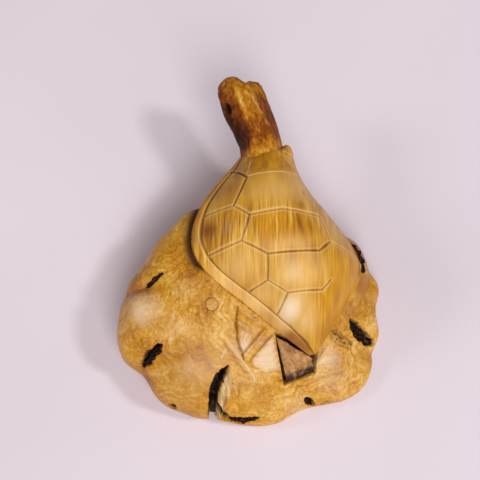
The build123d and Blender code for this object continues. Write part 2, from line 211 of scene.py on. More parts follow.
def burl_surface():
    """Grid of the burl: rows run out under the shell, over the top to the rim, round the bulge and in
    over the sole. Columns go round it and stand closer at the front; rows crowd where the shell ends."""
    turn = np.linspace(0, 1, BURL_COLUMNS, endpoint=False)
    angle = 360 * turn + FRONT_CROWD * np.sin(2 * np.pi * (turn - FRONT_SIDE / 360 + 0.5))
    circle = np.stack([np.cos(np.radians(angle)), np.sin(np.radians(angle))], axis=-1)
    reach = burl_reach(angle)[:, None] * circle - CROWN_CENTRE
    scan = np.linspace(0.05, 0.93, 89)[:, None]
    plan = CROWN_CENTRE + scan[..., None] * reach
    beside, _, _ = shell_side(np.dstack([plan, burl_top(plan[..., 0], plan[..., 1])]))
    leave = np.where(beside < -2, scan, scan[0]).max(axis=0)
    leave = np.mean([np.roll(leave, step) for step in range(-8, 9)], axis=0)
    hidden = np.linspace(0.04, 1, HIDDEN_ROWS, endpoint=False)[:, None] * leave
    shown = 1 - (1 - leave) * (1 - np.linspace(0, 1, TOP_ROWS)[:, None]) ** ROW_CROWD
    plan = CROWN_CENTRE + np.concatenate([hidden, shown])[..., None] * reach
    top = np.dstack([plan, burl_top(plan[..., 0], plan[..., 1])])
    lean = np.radians(np.linspace(90, 0, UNDER_ROWS + 1)[1:, None])
    low = bulge_height(angle)
    drawn_in = burl_reach(angle) - UNDERCUT * low * (1 - np.sin(lean))
    under = np.dstack([drawn_in[..., None] * circle, low * (1 - np.cos(lean))])
    return np.concatenate([top, under, under[-1] * SOLE_SHARES])


def outward(grid):
    """Unit normals of a grid that closes round its columns, from the runs to its neighbours."""
    return unit(np.cross(np.gradient(grid, axis=0), np.roll(grid, -1, axis=1) - np.roll(grid, 1, axis=1)))


def set_out(name, data):
    """Object with its data, put into the scene."""
    made = bpy.data.objects.new(name, data)
    bpy.context.scene.collection.objects.link(made)
    return made


def lay(name, grid, **marks):
    """Mesh object from a grid of points in mm, closed round its columns, with a fan over each end row."""
    rows, columns = grid.shape[:2]
    index = np.arange(rows * columns).reshape(rows, columns)
    beside = np.roll(index, -1, axis=1)
    quads = np.stack([index[:-1], index[1:], beside[1:], beside[:-1]], axis=-1).reshape(-1, 4)
    first = np.stack([np.full(columns, rows * columns), index[0], beside[0]], axis=-1)
    last = np.stack([np.full(columns, rows * columns + 1), beside[-1], index[-1]], axis=-1)
    points = np.concatenate([grid.reshape(-1, 3), grid[[0, -1]].mean(axis=1)])
    corners = np.concatenate([quads.ravel(), first.ravel(), last.ravel()])
    sizes = np.concatenate([np.full(len(quads), 4), np.full(2 * columns, 3)])
    mesh = bpy.data.meshes.new(name)
    mesh.vertices.add(len(points))
    mesh.vertices.foreach_set("co", (points / 1000).ravel())
    mesh.loops.add(len(corners))
    mesh.loops.foreach_set("vertex_index", corners)
    mesh.polygons.add(len(sizes))
    mesh.polygons.foreach_set("loop_start", np.concatenate([[0], np.cumsum(sizes)[:-1]]))
    mesh.polygons.foreach_set("use_smooth", np.ones(len(sizes), bool))
    for mark, values in marks.items():
        ends = values[[0, -1]].mean(axis=1)
        data = mesh.attributes.new(mark, "FLOAT", "POINT").data
        data.foreach_set("value", np.concatenate([values.ravel(), ends]).astype(np.float32))
    mesh.update(calc_edges=True)
    mesh.validate()
    return set_out(name, mesh)


BARK_PATHS = {
    # places in plan, half width, depth
    "bark_left_slit": ([(-52.2, 8.6), (-48.9, 10.2), (-46.4, 12.2), (-43.6, 14.8)], 1.6, 4.0),
    "bark_left_pocket": (
        [(-54.0, -28.2), (-51.1, -26.4), (-48.5, -24.5), (-46.0, -22.4), (-43.2, -20.8)], 2.3, 5.5,
    ),
    "bark_left_pit": ([(-39.4, -44.0), (-37.7, -46.0)], 1.8, 3.0),
    "bark_front_pit": ([(25.9, -40.5), (28.0, -41.7), (30.6, -43.0)], 1.7, 4.0),
    "bark_right_pocket": (
        [(49.4, -2.0), (51.8, -5.8), (54.2, -8.3), (57.1, -10.5), (61.4, -11.9)], 2.8, 5.0,
    ),
    "bark_rim_crack": (
        [(-17.8, -46.6), (-15.7, -49.0), (-11.4, -51.0), (-6.0, -51.8), (-0.6, -51.4), (3.8, -50.2)],
        2.15, 5.0,
    ),
}
SEAMS = [
    # creases in the burl: places in plan, half width, depth
    ([(-51.6, 8.8), (-54.6, 7.7), (-58.2, 7.2), (-62.5, 6.6)], 3.0, 2.4),
    ([(-43.6, 14.4), (-41.2, 16.2), (-38.4, 17.4)], 1.2, 0.5),
    ([(-53.5, -27.8), (-58.0, -31.0)], 2.0, 2.6),
    ([(-43.5, -21.0), (-39.2, -18.8), (-35.9, -17.0)], 2.0, 0.5),
    ([(26.0, -40.0), (22.0, -36.0)], 1.5, 0.5),
    ([(57.0, -13.0), (62.0, -18.0)], 2.0, 1.2),
    ([(35.2, -42.4), (36.6, -41.0)], 1.2, 2.2),
    ([(39.0, -42.0), (41.6, -40.8)], 1.4, 1.1),
]
CLEFT_PATH = np.array([
    (-11.6, -29.3), (-13.6, -32.4), (-15.8, -35.9), (-17.5, -39.3), (-18.5, -43.0), (-19.3, -47.5),
    (-20.4, -54.5),
])
CLEFT_HALF_WIDTHS = [0.3, 1.8, 2.5, 2.5, 2.3, 1.9, 1.5]
CLEFT_DEPTH = 13.0
TORN_PLACES = [29.5, 33.0, 38.0, 45.0, 50.0]
TORN_WIDTHS = [0.3, 3.2, 5.6, 5.4, 3.5]
TORN_DEPTH = 4.0
NOTCH_CORNERS = [(10.9, -12.8), (32.6, -18.4), (31.2, -29.4), (15.7, -36.0)]
NOTCH_DEPTH = 7.0
LEFT_FLIPPER = [(-7.0, -0.7), (-7.9, -9.4), (-7.0, -17.8), (-4.1, -25.8), (7.5, -11.8)]
RIGHT_FLIPPER = [(36.0, -11.0), (37.3, -8.0), (49.9, -13.0), (48.9, -17.0), (38.2, -18.6), (32.1, -24.3)]
FLIPPER_PROUD = 1.0
STICK = [(-2.4, -24.6), (8.4, -11.9)]
STICK_HALF_WIDTH = 2.4
STICK_PROUD = 0.5
FACET = [
    (-1.0, -26.4), (8.7, -14.4), (11.0, -13.9), (13.3, -25.8), (13.8, -29.7), (6.5, -32.2), (-0.2, -29.0),
]
RIGHT_FACET = [(32.4, -21.9), (35.7, -19.6), (44.3, -18.1), (43.3, -22.2), (39.1, -25.0), (31.8, -26.8)]
FACET_DEPTH = 0.5
CARVED_LINES = [
    # places in plan, half width, depth, how dark
    ([(-7.0, -1.2), (-7.9, -9.4), (-7.0, -17.8), (-4.1, -25.8)], 0.45, 0.7, 0.75),
    ([(-5.0, -23.6), (5.8, -10.6)], 0.5, 0.5, 0.45),
    ([(-0.6, -26.0), (10.4, -13.2)], 0.5, 0.5, 0.5),
    ([(-12.4, -19.4), (-8.4, -24.6), (-5.0, -28.9), (-0.4, -34.4)], 1.0, 0.6, 0.12),
    ([(36.6, -8.2), (43.5, -9.7), (49.7, -12.7)], 0.5, 0.6, 0.5),
    ([(37.6, -12.6), (42.6, -14.6), (48.4, -16.2)], 0.5, 0.5, 0.4),
    ([(32.6, -23.0), (35.2, -17.6)], 0.5, 0.4, 0.35),
]
SCRATCHES = [
    # places in plan, half width, how pale
    ([(-5.9, -19.6), (-4.9, -13.6)], 0.5, 0.6), ([(-5.0, -20.4), (-2.9, -14.2)], 0.6, 0.7),
    ([(-4.4, -21.4), (-1.2, -15.2)], 0.5, 0.6), ([(-5.4, -20.6), (-3.6, -23.4)], 0.7, 0.6),
    ([(-14.6, -25.4), (-12.6, -22.0)], 0.5, 0.5),
    ([(-10.6, -19.9), (-6.4, -24.9), (-2.6, -29.6), (0.8, -34.2)], 0.7, 0.6),
    ([(-7.4, 0.2), (-2.0, -5.2), (4.0, -9.6)], 0.6, 0.5),
    ([(33.0, -26.6), (38.6, -25.0), (43.0, -21.8)], 0.8, 0.5),
]
STIPPLE = [(38.3, -10.6), (48.6, -13.8)]
STIPPLE_HALF_WIDTH, STIPPLE_DEPTH, STIPPLE_GRAIN = 1.8, 0.5, 1.1
BURL_STAINS = [
    # place in plan, size, strength: brown stains in the wood, and painted shade along the left contour, on
    # the lower left and beside the shell's right edge
    (54.2, 16.0, 7.0, 0.8), (58.0, 9.0, 8.0, 0.55), (-33.0, -34.0, 17.0, 0.5), (-12.0, -24.0, 6.0, 0.35),
    (-57.0, 7.0, 4.5, 0.7), (-52.0, 8.0, 2.6, 0.6), (-61.0, 2.0, 4.0, 0.5), (4.0, -41.0, 8.0, 0.25),
    (-40.0, -12.0, 8.0, 0.2), (46.0, 2.0, 6.0, 0.4), (-22.0, 8.0, 9.0, 0.2), (58.0, -20.0, 6.0, 0.3),
    (-60.0, -12.0, 7.0, 0.3), (36.8, -8.9, 1.5, 0.95), (43.6, -12.2, 3.0, 0.4), (52.5, 34.5, 4.0, 0.9),
    (57.2, 29.5, 4.5, 0.95), (47.0, 38.0, 3.5, 0.6), (-8.6, -22.0, 3.0, 0.3),
]
PALE_PATCHES = [
    # place in plan, size, strength: pale wood, and painted highlights on the left lobe's crown and the right
    # facet
    (-53.0, -4.0, 6.5, 0.85), (40.0, -30.0, 9.0, 0.3), (22.0, -44.0, 6.0, 0.3), (-34.0, 6.0, 6.0, 0.2),
    (-3.6, -20.0, 3.4, 0.95), (38.0, -22.5, 6.0, 0.65), (33.4, -24.4, 3.0, 0.5), (3.0, -17.0, 3.0, 0.3),
]
SWELLINGS = [
    # place in plan, size, height
    (-61.0, -25.0, 6.5, 1.8), (-40.0, -44.0, 9.0, 1.3), (2.0, -52.0, 12.0, 0.3), (62.0, -22.0, 7.0, 2.2),
    (-44.0, 31.0, 12.0, 0.9), (-52.0, 22.0, 7.0, 0.5), (42.0, -40.0, 8.0, 1.0), (-61.0, 4.0, 6.0, 0.5),
    (64.0, 15.0, 8.0, -0.15), (63.0, -20.0, 4.0, 0.8),
]
LEFT_KNUCKLE = (-53.0, -4.0, 8.0, 1.3)
WAVE_MEAN, WAVE_BROAD, WAVE_SMALL = 0.22, 0.45, 0.15
SOLE_FADE = 2.5
RIM_HOLLOW, RIM_HOLLOW_WIDTH = 4.0, 7.0
RIM_OUTER = 2.0
FLUSH_WIDTH = 9.0
PLUG = np.array([-19.4, -1.0])
PLUG_RADIUS = 3.0
PLUG_BORE = 0.8

base = burl_surface()
plan = base[..., :2]
plan_x, plan_y = plan[..., 0], plan[..., 1]
lifted = ease(base[..., 2] / SOLE_FADE)
row = np.arange(len(base))[:, None]
top_side = row < RIM_ROW + ROWS_PAST_RIM
beside, off_middle, along = shell_side(base)
broad, small = lumps(base, 15.0, 1), lumps(base, 6.0, 2)
ragged = lumps(base, 2.2, 3) + 0.6 * lumps(base, 1.0, 4)
sink = lifted * (WAVE_MEAN - WAVE_BROAD * broad - WAVE_SMALL * small)
bark, hollow, pale, stain = (np.zeros(base.shape[:2]) for _ in range(4))

upper_left = ease((along - 44) / 12) * (off_middle < 0)
level = np.maximum(outward(base)[..., 2], 0)
beneath = bell(np.maximum(beside, 0), RIM_HOLLOW_WIDTH) * ease((beside + 12) / 6) * level ** 2
sink = sink + RIM_HOLLOW * upper_left * beneath
x, y, size, swell = LEFT_KNUCKLE
sink = sink - swell * bell(np.hypot(plan_x - x, plan_y - y), size) * top_side
for x, y, size, swell in SWELLINGS:
    sink = sink - swell * bell(np.hypot(plan_x - x, plan_y - y), size) * lifted

flipper = np.maximum(ease(inset(plan, LEFT_FLIPPER) + 0.4), ease(inset(plan, RIGHT_FLIPPER) / 1.2 + 0.4))
sink = sink - FLIPPER_PROUD * flipper * top_side
stick = ease((STICK_HALF_WIDTH - to_path(plan, STICK)[0]) / 0.5 + 0.5) * top_side
sink = sink - STICK_PROUD * stick
# The flat facets are cut in a little and painted pale: a painted highlight where they catch the front lamp.
for corners in (FACET, RIGHT_FACET):
    within = inset(plan, corners)
    cut = ease(within / 1.5 + 0.2) * top_side * (1 - stick)
    sink = sink + FACET_DEPTH * cut
    pale = np.maximum(pale, ease(within / 4.0 + 0.15) * cut)
for path, width, depth, dark in CARVED_LINES:
    line = bell(to_path(plan + 0.3 * ragged[..., None], path)[0], width) * top_side
    sink = sink + depth * line
    hollow = np.maximum(hollow, dark * line)
# Stain spots, some of them painted shade, and pale patches, some of them painted highlights.
for field, patches in ((stain, BURL_STAINS), (pale, PALE_PATCHES)):
    for x, y, size, strength in patches:
        away = np.hypot(plan_x - x, plan_y - y) / (1 + 0.3 * small)
        np.maximum(field, strength * bell(away, size) * lifted, out=field)
for path, width, strength in SCRATCHES:
    scratch = strength * bell(to_path(plan, path)[0] + 0.2 * ragged, width)
    pale = np.maximum(pale, scratch * top_side)
stipple = ease((STIPPLE_HALF_WIDTH - to_path(plan, STIPPLE)[0]) / 0.6) * top_side
stipple = stipple * ease(0.5 + lumps(base, STIPPLE_GRAIN, 8))
sink = sink + STIPPLE_DEPTH * stipple
hollow = np.maximum(hollow, 0.8 * stipple)

for path, width, depth in SEAMS:
    sink = sink + depth * bell(to_path(base, on_burl(path))[0], width) * top_side
for path, half_width, depth in BARK_PATHS.values():
    distance, where = to_path(base, on_burl(path))
    taper = 0.15 + 0.95 * np.sqrt(1 - np.abs(2 * where - 1) ** 2.2)
    edge = half_width * (taper + 0.3 * ragged)
    sink = sink + depth * ease((edge - distance) / 0.8 + 0.2) * lifted
    bark = np.maximum(bark, ease((edge + 0.15 - distance) / 0.4) * lifted)

distance, where = to_path(plan, CLEFT_PATH)
cleft_half = through(np.linspace(0, 1, len(CLEFT_PATH)), CLEFT_HALF_WIDTHS, where) + 0.35 * ragged
in_front = np.hypot(plan_x, plan_y) > 25
opened = ease((cleft_half - distance) / 0.9 + 0.4) * in_front * np.maximum(lifted, row > RIM_ROW)
right_of = plan_x - np.interp(-plan_y, -CLEFT_PATH[:, 1], CLEFT_PATH[:, 0]) - cleft_half
torn_width = np.interp(-plan_y, TORN_PLACES, TORN_WIDTHS)
wall = np.clip(1 - right_of / torn_width, 0, 1) * (right_of > -0.6) * top_side
wall = wall * ease((-plan_y - 29) / 2) * ease((51.5 + plan_y) / 2)
cleft_depth = CLEFT_DEPTH * opened * np.minimum(1, where * 5 + 0.2)
sink = sink + np.maximum(cleft_depth, TORN_DEPTH * wall ** 1.5)
torn = ease(wall * 3.5) * (1 - ease(opened * 3))
bark = np.maximum(bark, ease(opened * 3 - 0.4))

notch = ease(inset(plan, NOTCH_CORNERS) / 0.5 + 0.4) * top_side
sink = sink + NOTCH_DEPTH * notch
bark = np.maximum(bark, ease(notch * 2 - 0.3))
from_plug = np.hypot(plan_x - PLUG[0], plan_y - PLUG[1])
sink = sink + PLUG_BORE * (from_plug < PLUG_RADIUS + 0.1) * top_side
glue_line = bell(from_plug - PLUG_RADIUS - 0.15, 0.3) * top_side
hollow = np.maximum(hollow, (0.42 + 0.25 * small) * glue_line)

burl_grid = base - sink[..., None] * outward(base)
beside, off_middle, along = shell_side(burl_grid)
across, _, rise = on_seat(burl_grid)
flush_left, flush_right = 1 - ease((along - 46) / 9), 0.8 - 0.8 * ease((along - 48) / 10)
flush = np.where(off_middle < 0, flush_left, flush_right) * ease((along - 3) / 6)
flush = flush * ease(1 - (beside - 0.3) / FLUSH_WIDTH) * (beside > -3) * (sink < 3.5)
flush = flush * ease((RIM_ROW + 10 - row) / 14)
rise = rise + flush * (RIM_OUTER - 0.15 - rise)
steep = 8 - 7.3 * upper_left
rise = np.minimum(rise, steep * np.maximum(beside + 0.6, 0) - 0.5)
# Painted shade: a dark band on the burl beside the shell's left rim, widest along its upper part where the
# rim overhangs.
near_rim = bell(np.maximum(beside, 0), 0.5 + 2.2 * upper_left) * (beside > -1) * (off_middle < 0)
near_rim = near_rim * (0.04 + 0.96 * ease((along - 42) / 12)) * (rise > -14)
hollow = np.maximum(hollow, near_rim)
burl_grid = from_seat(across, along, rise)
burl_grid[..., 2] = np.maximum(burl_grid[..., 2], 0) * (lifted > 0)
burl_grid[-len(SOLE_SHARES):] = burl_grid[-len(SOLE_SHARES) - 1] * SOLE_SHARES
from_rim = np.hypot(plan_x, plan_y) / burl_reach(np.degrees(np.arctan2(plan_y, plan_x)))
flow = BURL_RADIUS * from_rim + base[..., 2] + 4.0 * broad + 2.0 * small
burl = lay("burl", burl_grid, bark=bark, torn=torn, hollow=hollow, pale=pale, stain=stain, flow=flow)

CHEST_SHARE = 0.8
CHEST_PLACES = [40, 60, 80, 101]
CHEST_DEPTHS = [22.0, 20.0, 15.0, 9.0]


def chest_surface(rows, columns):
    """Half ovals across the shell's axis, hanging below its seat with a lumpy skin, closed along it."""
    place = np.linspace(CHEST_PLACES[0], SHELL_LENGTH - 0.6, rows)[:, None]
    turn = np.linspace(np.pi, 0, columns)
    middle, half = shell_at(place)
    across = middle + CHEST_SHARE * half * np.cos(turn)
    along = place + 0 * across
    depth = through(CHEST_PLACES, CHEST_DEPTHS, place) * np.sin(turn)
    lumpy = 0.5 - 0.5 * lumps(np.dstack([across, along, depth]), 9.0, 6)
    return from_seat(across, along, 0.1 - depth + lumpy * np.sin(turn))


chest_grid = chest_surface(90, 120)
chest = lay("chest", chest_grid, flow=chest_grid[..., 2] + 3.0 * lumps(chest_grid, 12.0, 7))


def linear(colour):
    """Linear colour from an sRGB hex value."""
    parts = np.array([int(colour[i:i + 2], 16) for i in (1, 3, 5)]) / 255
    return tuple(np.where(parts <= 0.04045, parts / 12.92, ((parts + 0.055) / 1.055) ** 2.4)) + (1.0,)


def feed(tree, node, sockets):
    """Give each socket of a node its value, its hex colour or the output that feeds it."""
    for key, value in sockets.items():
        if isinstance(value, bpy.types.NodeSocket):
            tree.links.new(value, node.inputs[key])
        else:
            node.inputs[key].default_value = linear(value) if isinstance(value, str) else value


def add(tree, kind, sockets, out=0, stops=(), **settings):
    """New node with its settings, its sockets and the stops of its ramp; gives one of its outputs."""
    node = tree.nodes.new("ShaderNode" + kind)
    for key, value in settings.items():
        setattr(node, key, value)
    feed(tree, node, sockets)
    for i, (place, colour) in enumerate(stops):
        stop = node.color_ramp.elements[i] if i < 2 else node.color_ramp.elements.new(place)
        stop.position, stop.color = place, linear(colour)
    return node.outputs[out]


def new_finish(name):
    """Node material with its tree, its shader and the Object coordinates."""
    material = bpy.data.materials.new(name)
    material.use_nodes = True
    tree = material.node_tree
    return material, tree, tree.nodes["Principled BSDF"], add(tree, "TexCoord", {}, "Object")


def dress(piece, finish, node):
    """Finish for a piece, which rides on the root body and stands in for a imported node."""
    piece.data.materials.append(finish)
    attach(piece, "root")
    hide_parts(node)


# Waxed burl: the figure curls round many small buds, as fine swirls over cloudy amber and pale patches, some
# of them painted highlights, with strands about 1.2 mm wide and 9 mm long that follow the lump's form. Brown
# stains and painted shade darken it in places. Wax gives a broad, soft shine.
BURL_BEND = 5.0
BURL_BUD = 15.0
BURL_RINGS = 150.0
BURL_PATCH = 30.0
BURL_CLOUD = 20.0
BURL_FIBRE = 1.8
BURL_BREAK = 7.0
BURL_STRAND = 1.2
STRAND_LENGTH = 9.0
TORN_STREAK = 1.0
TORN_LENGTH = 7.0
FIBRE_SHARE, STRAND_SHARE = 0.75, 0.7
burl_wood, tree, shader, place = new_finish("waxed_burl")
marks = {
    mark: add(tree, "Attribute", {}, "Fac", attribute_name=mark)
    for mark in ("bark", "torn", "hollow", "pale", "stain", "flow")
}
bend = add(tree, "TexNoise", {"Vector": place, "Scale": 1000 / BURL_BEND, "Detail": 2.0}, "Color")
bent = add(tree, "VectorMath", {0: bend, 1: (0.5, 0.5, 0.5)}, operation="SUBTRACT")
bent = add(tree, "VectorMath", {0: bent, 1: (BURL_BEND / 1800,) * 3, 2: place}, operation="MULTIPLY_ADD")
buds = add(tree, "TexNoise", {"Vector": bent, "Scale": 1000 / BURL_BUD, "Detail": 1.5})
fibre = add(tree, "TexNoise", {"Vector": bent, "Scale": 1000 / BURL_FIBRE, "Detail": 5.0, "Roughness": 0.7})
broken = add(tree, "Math", {0: fibre, 1: BURL_BREAK}, operation="MULTIPLY")
rings = add(tree, "Math", {0: buds, 1: BURL_RINGS, 2: broken}, operation="MULTIPLY_ADD")
rings = add(tree, "Math", {0: rings}, operation="SINE")
cloud = add(tree, "TexNoise", {"Vector": bent, "Scale": 1000 / BURL_CLOUD, "Detail": 4.0})
patch = add(tree, "TexNoise", {"Vector": place, "Scale": 1000 / BURL_PATCH, "Detail": 1.0})
ring_share = add(tree, "MapRange", {
    "Value": patch, "From Min": 0.4, "From Max": 0.65, "To Min": 0.01, "To Max": 0.05,
})
mild = add(tree, "MapRange", {"Value": cloud, "To Min": 0.12, "To Max": 0.88})
figure = add(tree, "Math", {0: rings, 1: ring_share, 2: mild}, operation="MULTIPLY_ADD")
fine = add(tree, "Math", {0: fibre, 1: 0.5}, operation="SUBTRACT")
figure = add(tree, "Math", {0: fine, 1: FIBRE_SHARE, 2: figure}, operation="MULTIPLY_ADD")
flow = add(tree, "Math", {0: marks["flow"], 1: 1 / BURL_STRAND}, operation="MULTIPLY")
slow = add(tree, "VectorMath", {0: place, 1: (1000 / STRAND_LENGTH,) * 3}, operation="MULTIPLY")
strand_place = add(tree, "CombineXYZ", {0: flow})
strand_place = add(tree, "VectorMath", {0: strand_place, 1: slow}, operation="ADD")
strands = add(tree, "TexNoise", {"Vector": strand_place, "Scale": 1.0, "Detail": 3.0, "Roughness": 0.6})
strands = add(tree, "Math", {0: strands, 1: 0.5}, operation="SUBTRACT")
figure = add(tree, "Math", {0: strands, 1: STRAND_SHARE, 2: figure}, operation="MULTIPLY_ADD")
tone = add(tree, "ValToRGB", {"Fac": figure}, stops=[
    (0.20, "#8A4E06"), (0.82, "#EFC880"), (0.40, "#BA7A10"), (0.56, "#D49824"),
])
bare = add(tree, "Math", {0: marks["pale"], 1: 0.7}, operation="MULTIPLY")
torn_place = add(tree, "VectorMath", {
    0: bent, 1: (1000 / TORN_STREAK, 1000 / TORN_LENGTH, 1000 / TORN_LENGTH),
}, operation="MULTIPLY")
strand = add(tree, "TexNoise", {"Vector": torn_place, "Scale": 0.7, "Detail": 2.0})
splinter = add(tree, "ValToRGB", {"Fac": strand}, stops=[(0.32, "#A56E26"), (0.64, "#F0CE94")])
crumb = add(tree, "ValToRGB", {"Fac": fibre}, stops=[
    (0.44, "#0A0504"), (0.72, "#9A6A38"), (0.58, "#2E1A0C"),
])
# Over the figure: stains and painted shade, pale wood and painted highlights, dark marks and the painted
# shade beside the shell's rim, torn wood, bark.
for share, colour in (
    (marks["stain"], "#9A5A0A"), (bare, "#F0D4B2"), (marks["hollow"], "#4E2808"), (marks["torn"], splinter),
    (marks["bark"], crumb),
):
    tone = add(tree, "Mix", {0: share, 6: tone, 7: colour}, 2, data_type="RGBA")
wax = add(tree, "MapRange", {
    "Value": fibre, "From Min": 0.3, "From Max": 0.7, "To Min": 0.36, "To Max": 0.5,
})
raw = add(tree, "Math", {0: marks["bark"], 1: marks["torn"]}, operation="MAXIMUM")
raw = add(tree, "Math", {0: raw, 1: marks["hollow"]}, operation="MAXIMUM")
rough = add(tree, "Math", {0: raw, 1: 0.45, 2: wax}, operation="MULTIPLY_ADD")
bump = add(tree, "Bump", {"Height": figure, "Strength": 0.2, "Distance": 0.0004})
feed(tree, shader, {"Base Color": tone, "Roughness": rough, "Normal": bump, "IOR": 1.48})
for piece in (burl, chest):
    dress(piece, burl_wood, "burl_base")

# Repair plug. A short 6 mm dowel driven into a flaw in the burl and sanded off almost flush.
# It shows its end grain, with a faint glue line round it.

PLUG_PROFILE = np.array([
    # radius, rise
    (0.3, 0.1), (1.2, 0.09), (2.0, 0.06), (2.6, 0.0), (2.9, -0.12), (2.98, -0.35), (2.98, -2.0),
    (2.98, -9.0), (2.5, -9.3), (0.4, -9.3),
])
PLUG_SUNK = 0.35


def turned(profile, middle, axis, columns):
    """Profile of radius and rise carried round an axis through middle."""
    side = unit(np.cross(axis, [0, 1, 0]))
    front = np.cross(axis, side)
    turn = np.linspace(0, 2 * np.pi, columns, endpoint=False)[None, :, None]
    ring = np.cos(turn) * side + np.sin(turn) * front
    return middle + profile[:, None, :1] * ring + profile[:, None, 1:] * axis


plug_top = np.array([*PLUG, burl_top(*PLUG) - PLUG_SUNK])
plug = lay("repair_plug_dowel", turned(PLUG_PROFILE, plug_top, OUT, 72))

# Birch dowel end: close pores under a millimetre across, hardly darker than the wood.
DOWEL_PORE = 0.8
dowel_wood, tree, shader, place = new_finish("birch_dowel")
pores = add(tree, "TexNoise", {"Vector": place, "Scale": 1000 / DOWEL_PORE, "Detail": 4.0})
tone = add(tree, "ValToRGB", {"Fac": pores}, stops=[(0.3, "#B27A2C"), (0.7, "#DDA850")])
wax = add(tree, "MapRange", {"Value": pores, "To Min": 0.4, "To Max": 0.55})
feed(tree, shader, {"Base Color": tone, "Roughness": wax})
dress(plug, dowel_wood, "repair_plug")

# Pegs. Two hidden birch dowels hold the shell on its seat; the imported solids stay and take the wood.

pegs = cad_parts["carapace_pegs"]
if not pegs.material_slots:
    pegs.data.materials.append(dowel_wood)
for slot in pegs.material_slots:
    slot.material = dowel_wood

# Bark. Black, crumbling bark grown into the burl and left in its pockets, in the cleft at the rim
# and under the shell's right edge.

BARK_SINK = 0.42
BARK_FILL = 0.8
BARK_INSET = 0.97
CLEFT_FLOOR = [(-13.6, -32.4, 15.0), (-15.8, -36.5, 12.0), (-16.6, -41.0, 9.0), (-16.4, -46.0, 6.5)]
CLEFT_BARK_RADIUS = 1.8
STRIP_PLACES = np.array([35.5, 40.5, 46.0, 51.5])
STRIP_OUT = np.array([1.5, 0.7, 0.5, -0.5])
STRIP_RADIUS, STRIP_SINK = 1.55, 0.4
LOWEST_BARK = 0.2


def bark_crumbs(path, radius, seed):
    """Lumpy roll along a path: a round section, tapered at both ends and roughened by two sizes of noise."""
    share = np.linspace(0, 1, 70)
    middle = between(path, share)
    ahead = unit(np.gradient(middle, axis=0))
    side = unit(np.cross(ahead, [0, 0, 1]))
    up = np.cross(side, ahead)
    turn = np.linspace(0, 2 * np.pi, 44, endpoint=False)[None, :, None]
    taper = np.sqrt(1 - np.abs(2 * share - 1) ** 3 * 0.9)[:, None, None]
    ring = np.cos(turn) * side[:, None] + np.sin(turn) * up[:, None]
    grid = middle[:, None] + radius * taper * ring
    rough = 0.4 * lumps(grid, 1.9, seed) + 0.35 * lumps(grid, 0.8, seed + 1)
    return grid + radius * rough[..., None] * ring


# Crumbling bark: black corky grains about a millimetre across with brown broken faces, quite matt.
BARK_GRAIN = 1.3
bark_skin, tree, shader, place = new_finish("crumbling_bark")
grit = add(tree, "TexNoise", {"Vector": place, "Scale": 1000 / BARK_GRAIN, "Detail": 6.0, "Roughness": 0.7})
tone = add(tree, "ValToRGB", {"Fac": grit}, stops=[(0.42, "#080403"), (0.72, "#8A5A30"), (0.56, "#2A160A")])
bump = add(tree, "Bump", {"Height": grit, "Strength": 0.6, "Distance": 0.0006})
feed(tree, shader, {"Base Color": tone, "Roughness": 0.92, "Specular IOR Level": 0.15, "Normal": bump})

bark_rolls = {}
for seed, (name, (path, half_width, depth)) in enumerate(BARK_PATHS.items()):
    path = path[2:] if name == "bark_rim_crack" else path
    sunk = on_burl(path) * [BARK_INSET, BARK_INSET, 1] - [0, 0, depth * BARK_SINK]
    bark_rolls[name] = bark_crumbs(sunk, BARK_FILL * half_width, 10 + 2 * seed)
bark_rolls["bark_cleft_lining"] = bark_crumbs(CLEFT_FLOOR, CLEFT_BARK_RADIUS, 30)
middle, half = shell_at(STRIP_PLACES)
strip = from_seat(middle + half + STRIP_OUT, STRIP_PLACES, np.full(len(STRIP_PLACES), -STRIP_SINK))
bark_rolls["bark_right_strip"] = bark_crumbs(strip, STRIP_RADIUS, 32)
for name, grid in bark_rolls.items():
    grid[..., 2] = np.maximum(grid[..., 2], LOWEST_BARK)
    dress(lay(name + "_crumbs", grid), bark_skin, name)

# Tail wedge. A rough offcut pushed into the notch under the tail and left unwaxed, with a torn
# end towards the front, darkened by painted shade.

WEDGE_CORNERS = np.array([(11.3, -13.4), (29.6, -22.6), (30.4, -28.9), (16.9, -34.9)])
WEDGE_FLOOR = 9.0
WEDGE_UNDER_RIM = 2.0
WEDGE_END, WEDGE_END_DROP = 3.8, 2.5


def wedge_surface(rows, columns):
    """Loop round the wedge's four corners, carried from its foot up and then in over its sloping top."""
    middle = WEDGE_CORNERS.mean(axis=0)
    ring = np.vstack([WEDGE_CORNERS, WEDGE_CORNERS[:1]])
    plan = between(ring, np.linspace(0, 1, columns, endpoint=False))
    share = np.concatenate([np.ones(rows), np.linspace(1, 0.04, 2 * rows)[1:]])[:, None, None]
    up = np.concatenate([np.linspace(0, 1, rows), np.ones(2 * rows - 1)])[:, None]
    place = middle + share * (plan - middle)
    x, y = place[..., 0], place[..., 1]
    top = np.minimum(burl_top(x, y) - 0.5, seat_height(x, y) - WEDGE_UNDER_RIM)
    end = to_path(place, WEDGE_CORNERS[2:])[0]
    top = top - WEDGE_END_DROP * ease(1 - end / WEDGE_END)
    return np.dstack([place, WEDGE_FLOOR + (top - WEDGE_FLOOR) * up]), end


wedge_grid, wedge_end = wedge_surface(24, 200)
wedge_rough = 0.3 + 0.35 * lumps(wedge_grid, 2.2, 40) + 0.25 * lumps(wedge_grid, 0.9, 41)
wedge_grid = wedge_grid - wedge_rough[..., None] * outward(wedge_grid)
wedge_grid[:2, :, 2] = WEDGE_FLOOR
# Painted shade: darker towards the torn end, where the top drops away.
wedge_dirt = ease(1.3 - wedge_end / WEDGE_END + 0.5 * lumps(wedge_grid, 1.6, 42))
wedge = lay("tail_wedge_offcut", wedge_grid, dirt=wedge_dirt)
